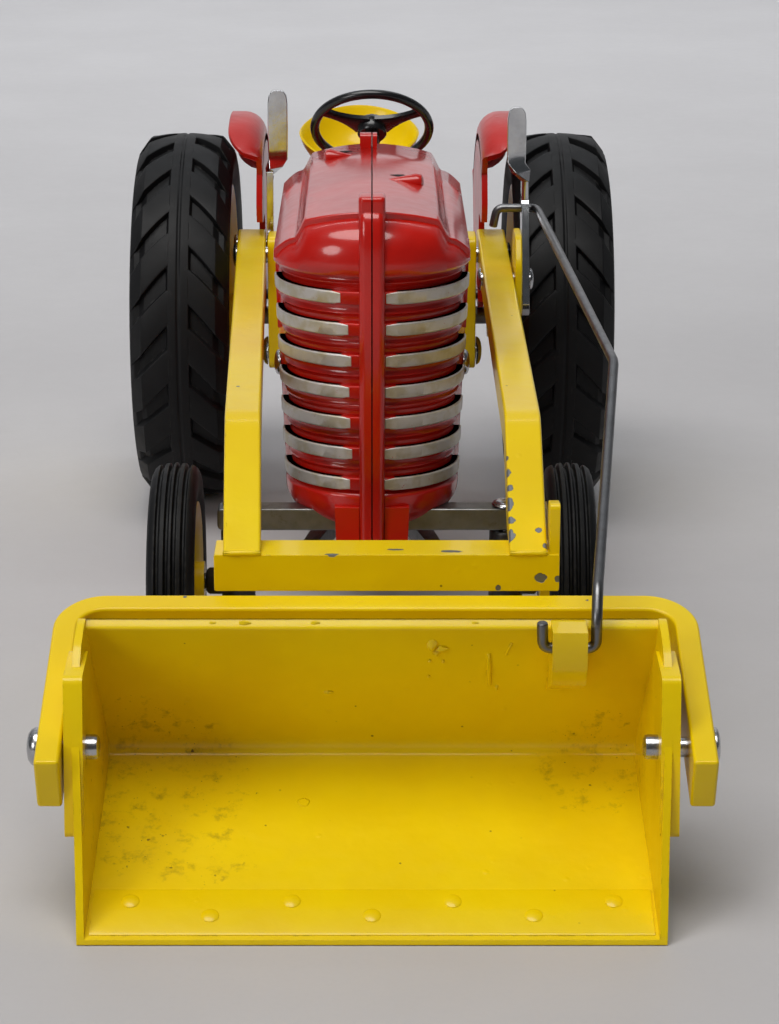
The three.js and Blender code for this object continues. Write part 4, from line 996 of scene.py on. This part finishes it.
def steering_wheel():
    """A moulded rim, three flattened spokes that widen into the hub, and a domed hub."""
    rim_radius = 13
    section = [(rim_radius + 1.05 * math.cos(a), 1.05 * math.sin(a)) for a in
               (2 * math.pi * k / 12 for k in range(12))]
    shapes = [lathe(section + section[:1], 64, axis="z")]
    boss = [(1.72, -2), (3.0, -2), (3.3, -1.6), (3.3, 1.2), (2.8, 1.9), (1.72, 2.0), (1.72, -2)]
    shapes.append(lathe(boss, 32, axis="z"))
    for angle in (30, 150, 270):
        a = math.radians(-angle)
        rings = []
        for i in range(9):
            s = i / 8
            reach = 2.4 + (rim_radius - 2.6) * s
            wide = 3.0 - 3.6 * s * (1 - s) - 1.7 * s
            thick = 0.85 - 0.15 * s
            ring = [(-1, -0.6), (-0.6, -1), (0.6, -1), (1, -0.6), (1, 0.6), (0.6, 1), (-0.6, 1), (-1, 0.6)]
            rings.append([
                (reach * math.cos(a) - u * wide * math.sin(a), reach * math.sin(a) + u * wide * math.cos(a),
                 w * thick + 0.3 * (1 - s))
                for u, w in ring
            ])
        shapes.append(loft(rings))
    return [turned(s, hub_turn) for s in shapes]


piece("steering_wheel", steering_wheel(), black_plastic, "steering_wheel", ["steering_wheel"], "black_plastic",
      angle=50)
column = [(0, -41), (1.6, -41), (1.6, 2.6), (1.2, 3.1), (0, 3.2)]
column_shapes = [lathe(column, 24, axis="z"),
                 lathe([(1.6, -37), (2.6, -37), (2.6, -30), (2.2, -29.4), (1.6, -29.4), (1.6, -37)], 24, axis="z")]
piece("steering_column", [turned(s, hub_turn) for s in column_shapes], black_enamel, "tractor",
      ["steering_column"], "black_paint")
drawbar = rounded([(-6.5, -2), (6.5, -2), (6.5, 40), (-6.5, 40)], [0.5, 0.5, 6, 6], 8)
piece("drawbar", [prism(drawbar, 30.6, 33.6, "z")], steel, "tractor", ["drawbar"], "steel", bevel=0.35,
      cuts=[lathe([(0, 20), (2.2, 20), (2.2, 40), (0, 40)], 32, (0, 34.5, 0), "z")])


# ---------------------------------------------------------------- masts, arms, crossbar and yoke
LIFT_Y, LIFT_Z = -26, 66
for name, side in SIDES:
    mast = rounded([(LIFT_Y - 5, 39), (LIFT_Y + 5, 39), (LIFT_Y + 5, 71), (LIFT_Y - 5, 71)], 2.5, 5)
    piece(f"mast_{name}", [mirrored(prism(mast, 21.5, 24.6, "x"), side)], yellow, "tractor", [f"mast_{name}"],
          "yellow_paint", bevel=0.35)
    pin = rivet(3, 21.2, 32.2, 0.9, LIFT_Y, LIFT_Z, shank=2.0)
    piece(f"lift_pin_{name}", [mirrored(pin, side)], rivet_metal, "tractor", [f"lift_pin_{name}"], "steel")

ARM_ENDS = {"left": (-28.9, -23.0), "right": (28.6, 27.7)}
ARM_BEND, ARM_BEND_Z, ARM_FRONT, BAR_TOP_Z = -180, 69.3, -209, 51.7


def arm(name):
    """A flat bar on edge, level to its bend and then down to the crossbar, a little closer in at the front."""
    fall = math.atan2(ARM_BEND_Z - BAR_TOP_Z, ARM_BEND - ARM_FRONT)
    low = BAR_TOP_Z + 0.05
    drop = 7 / math.cos(fall)

    def tip(z):
        return ARM_BEND - (ARM_BEND_Z - z) / math.tan(fall)

    outline = arc((-14, 66), 3.5, -90, 90, 12)
    outline += [(ARM_BEND + 4, ARM_BEND_Z + 0.1), (ARM_BEND + 1, ARM_BEND_Z - 0.15), (ARM_BEND - 2.6, ARM_BEND_Z - 1.7),
                (tip(low), low), (tip(low + drop), low), (ARM_BEND + 1.9, 62.5)]
    rear, front = ARM_ENDS[name]
    shape = prism(outline, -3.35, 3.35, "x")
    points = []
    for x, y, z in shape[0]:
        points.append((x + rear + (front - rear) * (-14 - y) / (-14 - ARM_FRONT), y, z))
    return points, shape[1]


lever_pin = middle("lever_pin")
for name, side in SIDES:
    piece(f"arm_{name}", [arm(name)], yellow_arms, "loader", [f"arm_{name}"], "yellow_paint", bevel=0.55, bends=3)

bar_x, bar_y, bar_z = spans("crossbar")
crossbar = rounded([(bar_x[0], 44.9), (bar_x[1], 44.9), (bar_x[1], BAR_TOP_Z), (bar_x[0], BAR_TOP_Z)], 0.35, 2)
ear = rounded([(-208.6, 50.7), (-202.6, 50.7), (-202.6, 60), (-208.6, 61)], [0, 0, 1.2, 1.2])
weld = []
for name, side in SIDES:
    x = ARM_ENDS[name][1]
    path = [(x - 3.2, -208.6, 51.8), (x, -208.9, 52.0), (x + 3.2, -208.6, 51.8)]
    weld.append(wire(bent_path(path, 2), 0.55, 10))
piece("crossbar", [prism(crossbar, bar_y[0], bar_y[1], "y"), prism(ear, bar_x[1] - 1.8, bar_x[1], "x")] + weld,
      yellow_bar, "loader", ["crossbar"], "yellow_paint", bevel=0.35, bends=3)

PIVOT_Y, PIVOT_Z = middle("bucket_pin_right").y, middle("bucket_pin_right").z
YOKE_Y, YOKE_Z, YOKE_THICK = -209.6, 40.4, 4.2
YOKE_X = {"left": 55.6, "right": 57.0}    # the bent bar sits a little to the right


def yoke():
    """A flat bar bent into a U; its plane falls from the crossbar to the bucket's pivots."""
    back, drop = YOKE_Y - PIVOT_Y, YOKE_Z - PIVOT_Z
    fall = math.atan2(drop, back)
    length = math.hypot(back, drop) + 9.6
    r, t = 9.0, YOKE_THICK
    w, v = YOKE_X["right"], YOKE_X["left"]
    outer = [(w, -length)] + arc((w - r, -r), r, 0, 90, 14) + arc((-v + r, -r), r, 90, 180, 14) + [(-v, -length)]
    inner = [(-v + t, -length)] + arc((-v + r, -r), r - t, 180, 90, 14) + arc((w - r, -r), r - t, 90, 0, 14)
    inner += [(w - t, -length)]
    matrix = Matrix.Translation((0, YOKE_Y, YOKE_Z)) @ Matrix.Rotation(fall, 4, "X")
    return turned(prism(outer + inner, -5, 5, "z"), matrix)


piece("yoke", [yoke()], yellow_yoke, "loader", ["yoke"], "yellow_paint", bevel=0.6, bends=3)
PIN_HEAD = {"left": 2.0, "right": 1.1}
PIN_END = {"left": 45.7, "right": 45.5}
for name, side in SIDES:
    head, end, grip = PIN_HEAD[name], PIN_END[name], YOKE_X[name] + 0.25
    pin = [(0, end), (1.5, end), (2.0, end + 0.3), (2.1, end + 0.7), (2.1, 48.2), (1.7, 48.2), (1.7, grip), (3.3, grip),
           (3.3, grip + head * 0.25), (3.0, grip + head * 0.6), (2.3, grip + head * 0.85),
           (1.2, grip + head * 0.97), (0, grip + head)]
    piece(f"bucket_pin_{name}", [mirrored(lathe(pin, 36, (0, PIVOT_Y, PIVOT_Z)), side)], rivet_metal, "loader",
          [f"bucket_pin_{name}"], "chrome")


# ---------------------------------------------------------------- bucket
LIP_Y = -258.5
HALF_WIDTH, SIDE_THICK, SPLAY = 47.6, 1.3, 0.04
LUG_X = (30.3, 36.2)
LINK = (7.4, 14.9)
BUCKET_ROD = (PIVOT_Y + LINK[0], PIVOT_Z + LINK[1])
inner_wall = [(38.8, 15.8), (41.2, 17.6), (41.4, 19.6), (39.75, 23.3), (36.75, 28.5), (31.1, 36.5), (25.9, 46.4)]
inner_floor = [(0, 0.9), (10.5, 4.85), (21, 8.8), (33, 13.1)]


def from_lip(points):
    return [(y + LIP_Y, z) for y, z in points]


def splayed(shape):
    """The cast sides open out towards the mouth, up and forward."""
    return [(x * (1 + SPLAY * (z - (y - LIP_Y)) / HALF_WIDTH), y, z) for x, y, z in shape[0]], shape[1]


def bore(radius, low, high, y, z):
    return lathe([(0, low), (radius, low), (radius, high), (0, high)], 32, (0, y, z))


side_view = [(0, 0), (10.5, 3), (21, 6.9), (33, 11.2), (40.6, 14.9), (43, 17.6), (43.2, 19.6), (41.5, 24),
             (38.5, 29.4), (32.9, 37.6), (28, 46.6), (26.9, 48), (25.2, 47.9), (18.8, 45.3), (13, 38.5), (9.4, 29.2),
             (5.2, 14.9), (0.4, 1.8)]
edge_radii = [0.3, 3, 3, 6, 4, 2, 2, 3, 4, 4, 2, 0.6, 1.5, 4, 5, 5, 5, 0.4]
outside = rounded(from_lip(side_view), edge_radii, 4)
hollow = from_lip([(-9, 0.9)] + inner_floor + inner_wall + [(27.2, 47.9), (30, 50), (30, 70), (-9, 70)])
hollow_radii = [0, 0, 4, 5, 6, 3, 1.2, 1.6, 4, 4, 4, 0.4, 0, 0, 0, 0]
hollow = rounded(hollow, hollow_radii, 5)
pad = rounded(from_lip([(7.3, 16), (12.4, 42.6), (24, 43.4), (30, 34), (30, 20), (22, 16)]), 1.2, 3)
lug = from_lip([(27, 47.6), (20.4, 47.6), (20.2, 41.5), (22.4, 37.5), (33.5, 32.6), (33.5, 36)])

shell = to_mesh("shell", [splayed(prism(outside, -HALF_WIDTH - SIDE_THICK, HALF_WIDTH + SIDE_THICK, "x"))])
shell = cut_away(shell, [splayed(prism(hollow, -HALF_WIDTH, HALF_WIDTH, "x")),
                         bore(1.9, -60, 60, PIVOT_Y, PIVOT_Z)])


def wall_point(x, z, out):
    """A point on the bucket's inner back wall at a height, pushed out towards the mouth."""
    line = from_lip(inner_wall)
    for (y0, z0), (y1, z1) in zip(line, line[1:]):
        if z0 <= z <= z1:
            return (x, y0 + (y1 - y0) * (z - z0) / (z1 - z0) - out, z)
    return (x, line[-1][0] - out, z)


marks = [wire([wall_point(19.9, 40.8, -0.1), wall_point(20.1, 37.5, 0.1), wall_point(20.3, 33.6, -0.1)], 0.42, 10),
         wire([wall_point(23.8, 43.2, -0.1), wall_point(23.2, 41.6, 0.05), wall_point(22.9, 40.6, -0.1)], 0.25, 8)]
for x, z, size in ((10.2, 43.2, (0.9, 0.5, 1.4)), (11.9, 42.0, (1.2, 0.6, 0.7)), (11.0, 41.3, (0.6, 0.5, 0.9)),
                   (9.9, 39.2, (0.35, 0.3, 0.35)), (12.2, 39.1, (0.3, 0.3, 0.4)), (-7.6, 31.6, (0.9, 0.35, 0.4)),
                   (21.6, 33.0, (0.3, 0.3, 0.8)), (9.8, 35.6, (0.3, 0.25, 0.3))):
    marks.append(blob(wall_point(x, z, 0.0), size))
for x, size in ((-21.5, 0.5), (-9.6, 0.4), (-27, 0.3), (17.5, 0.3)):
    marks.append(blob((x, LIP_Y + 26.6, 47.2), (size * 2.2, size * 0.7, size)))

pads = [mirrored(prism(pad, 47.9, 51.1, "x"), side) for _, side in SIDES]
lug_shape = prism(lug, *LUG_X, "x")
rivets = []
strip_rows = []
for t, up in ((0.02, -0.3), (0.02, 0.2), (0.05, 0.32), (0.5, 0.34), (0.97, 0.32), (1.0, 0.2), (1.0, -0.3)):
    strip_rows.append([(x, LIP_Y + 0.9 + 9.9 * t, 1.22 + 3.73 * t + up) for x in
                       (-46.9 + 93.8 * i / 24 for i in range(25))])
strip_shape = loft([[row[i] for row in strip_rows] for i in range(25)])
fall = math.atan2(4.85 - 0.9, 10.5)
for number in range(7):
    x = -40.5 + number * 13.5
    back = 4.1 if number % 2 else 7.2
    dome = lathe([(0, -0.3), (1.5, -0.3), (1.5, 0.05), (1.2, 0.22), (0, 0.3)], 24, axis="z")
    matrix = (Matrix.Translation((x, LIP_Y + 0.9 + back, 1.22 + back * 0.376 + 0.36))
              @ Matrix.Rotation(fall, 4, "X"))
    rivets.append(turned(dome, matrix))


bored_pads = [cut_away(to_mesh("pad", [shape]), [bore(1.9, -60, 60, PIVOT_Y, PIVOT_Z)]) for shape in pads]
bored_lug = cut_away(to_mesh("lug", [lug_shape]), [bore(1.3, 25, 42, *BUCKET_ROD)])
extra = to_mesh("extra", [strip_shape] + rivets + marks)
bucket_mesh = joined("bucket", [shell, *bored_pads, bored_lug, extra])
finished("bucket", bucket_mesh, yellow_bucket, "bucket", ["bucket"], "yellow_paint", bevel=0.32, bends=3,
         angle=40)


# ---------------------------------------------------------------- levers and trip rod
LEVER_Y, LEVER_Z = lever_pin.y, lever_pin.z
TOP_ROD = (LEVER_Y + LINK[0], LEVER_Z + LINK[1])


def capsule(a, b, ra, rb):
    """The outline round two circles."""
    start = math.degrees(math.atan2(b[1] - a[1], b[0] - a[0]))
    return arc(a, ra, start + 90, start + 270, 14) + arc(b, rb, start - 90, start + 90, 14)


def paddle_lever(x_blade, x_paddle, y, z_low, z_high, blade_depth, length, wide, thick=1.6):
    """A flat shank along Y that twists through a right angle into a paddle across X, rounded at its top."""
    rings = []
    foot = z_high - length
    for z, twist, broad in ((z_low, 0, blade_depth), (foot - 4, 0, blade_depth), (foot - 2, 0.5, blade_depth),
                            (foot, 1, wide * 0.94), (foot + 2.5, 1, wide * 0.98), (z_high - 3, 1, wide),
                            (z_high - 1.2, 1, wide * 0.88), (z_high - 0.35, 1, wide * 0.65), (z_high, 1, wide * 0.33)):
        turn = twist * math.pi / 2
        x = x_blade + (x_paddle - x_blade) * twist
        ring = []
        for u, v in ((-1, -0.7), (-0.94, -1), (0.94, -1), (1, -0.7), (1, 0.7), (0.94, 1), (-0.94, 1), (-1, 0.7)):
            along, across = u * broad / 2, v * thick / 2
            ring.append((x + along * math.sin(turn) + across * math.cos(turn),
                         y + along * math.cos(turn) - across * math.sin(turn), z))
        rings.append(ring)
    return loft(rings)


blade_x = (33.9, 35.5)
blade = [prism(capsule((LEVER_Y - 2.4, LEVER_Z - 4.8), TOP_ROD, 3.2, 3.4), *blade_x, "x"),
         paddle_lever(34.7, 32.7, TOP_ROD[0], 81, 105, 5.2, 12.5, 4.3)]
piece("trip_lever", blade, chrome, "trip_lever", ["trip_lever"], "chrome", bevel=0.3, bends=3,
      cuts=[bore(1.65, 30, 40, LEVER_Y, LEVER_Z), bore(1.1, 30, 40, *TOP_ROD)])
bracket = rounded([(-66, 60.5), (-49.5, 60.5), (-49.5, 74), (-52, 78), (-62, 78), (-66, 72)], 1.6)
piece("lever_bracket", [prism(bracket, 32.05, 33.6, "x")], yellow, "loader", ["lever_bracket"], "yellow_paint",
      bevel=0.35, cuts=[bore(1.8, 30, 40, LEVER_Y, LEVER_Z)])
pin_x = spans("lever_pin")[0]
piece("lever_pin", [rivet(2.6, pin_x[0] + 0.9, pin_x[1] - 0.9, 0.9, LEVER_Y, LEVER_Z, shank=1.5)], rivet_metal,
      "loader", ["lever_pin"], "steel")
lift_blade = [(-17.5, 66.2)] + arc((-14.5, 66.2), 3, 180, 360, 14) + [(-12.2, 84), (-16.8, 84)]
piece("lift_lever", [prism(lift_blade, -25.2, -23.6, "x"), paddle_lever(-24.4, -22.45, -14.5, 82, 103.2, 4.6, 16.5, 4.8)], chrome,
      "loader", ["lift_lever"], "chrome", bevel=0.3, bends=3)
piece("lift_lever_rivet", [rivet(2.3, -32.6, -25.3, 0.8, -14.5, 66.2, shank=1.2)], rivet_metal, "loader",
      ["lift_lever_rivet"], "steel")

b, c = Vector((0, *TOP_ROD)), Vector((0, *BUCKET_ROD))
rod_path = [
    (27.6, b.y - 0.6, b.z - 4), (28.4, b.y, b.z), (37.2, b.y, b.z), (37.8, b.y - 4, b.z - 0.2), (45.6, -166.5, 76),
    (38.1, c.y + 3.4, c.z + 9.5), (37.8, c.y, c.z + 5.2), (37.8, c.y, c.z), (28.8, c.y, c.z),
    (28.6, c.y - 0.8, c.z + 4.6),
]
piece("trip_rod", [wire(bent_path(rod_path, 1.6), 0.95)], rod_metal, "trip_rod", ["trip_rod"], "zinc")


# ---------------------------------------------------------------- floor, light and camera
def floor():
    """A pale sheet that sweeps up behind the toy."""
    rows = []
    curve = [(-1.6, 0), (-0.6, 0), (0.0, 0), (0.6, 0), (1.2, 0)]
    curve += [(1.2 + 0.5 * math.sin(math.radians(a)), 0.5 - 0.5 * math.cos(math.radians(a))) for a in range(10, 91, 10)]
    curve += [(1.7, 1.4)]
    for y, z in curve:
        rows.append([(x / MM, y / MM - AXLE_Y / MM, z / MM - 0.05) for x in (-2.5, -1, 0, 1, 2.5)])
    mesh = to_mesh("floor", [grid(rows)])
    mesh.shade_smooth()
    obj = bpy.data.objects.new("floor", mesh)
    bpy.context.scene.collection.objects.link(obj)
    n = Nodes("floor")
    cloud = n.ramp(n.noise(90, 4), 0.3, 0.75)
    tone = n.mix(cloud, (0.49, 0.475, 0.48), (0.52, 0.505, 0.51))
    grain = n.ramp(n.noise(1.2, 3), 0.4, 0.75)
    tone = n.mix(n.math("MULTIPLY", grain, 0.16), tone, (0.46, 0.442, 0.445))
    mesh.materials.append(n.finish(tone, n.between(n.noise(6, 3), 0.5, 0.7), 0.0, n.bump(n.noise(1.5, 3), 0.1, 0.1)))


def area_light(name, position, target, size, power, colour=(1, 1, 1)):
    light = bpy.data.lights.new(name, "AREA")
    light.shape = "ELLIPSE"
    light.size, light.size_y = size
    light.energy = power
    light.color = colour
    obj = bpy.data.objects.new(name, light)
    bpy.context.scene.collection.objects.link(obj)
    obj.location = position
    direction = Vector(target) - Vector(position)
    obj.rotation_euler = direction.to_track_quat("-Z", "Y").to_euler()


floor()
area_light("overhead", (-0.2, -0.42, 1.25), (0, -0.02, 0), (1.2, 0.8), 13.2, (1.0, 0.99, 0.97))
area_light("left_front", (-0.85, -0.95, 0.55), (0, -0.08, 0.05), (0.5, 0.5), 3.8, (1.0, 0.99, 0.98))
area_light("backdrop", (0, 0.7, 1.2), (0, 1.7, 0.45), (1.6, 0.5), 18.5, (0.93, 0.97, 1.0))

world = bpy.data.worlds.new("studio")
bpy.context.scene.world = world
world.use_nodes = True
tree = world.node_tree
toward = tree.nodes.new("ShaderNodeTexCoord")
parts = tree.nodes.new("ShaderNodeSeparateXYZ")
fade = tree.nodes.new("ShaderNodeMapRange")
fade.inputs["From Min"].default_value = 0.1
fade.inputs["From Max"].default_value = 0.9
fade.inputs["To Min"].default_value = 0.06
fade.inputs["To Max"].default_value = 0.6
tree.links.new(toward.outputs["Generated"], parts.inputs[0])
tree.links.new(parts.outputs["Y"], fade.inputs["Value"])
background = tree.nodes["Background"]
background.inputs["Color"].default_value = (0.9, 0.95, 1.0, 1)
tree.links.new(fade.outputs["Result"], background.inputs["Strength"])

camera_data = bpy.data.cameras.new("camera")
camera_data.sensor_fit = "VERTICAL"
camera_data.sensor_width = camera_data.sensor_height = 36
camera_data.lens = 98.44
camera_data.shift_x = 0.0171
camera_data.clip_start = 0.02
camera = bpy.data.objects.new("camera", camera_data)
bpy.context.scene.collection.objects.link(camera)
camera.location = (0, -0.57178, 0.208)
camera.rotation_euler = (math.radians(90 - 17.534), 0, 0)
bpy.context.scene.camera = camera
bpy.context.scene.view_settings.view_transform = "Standard"
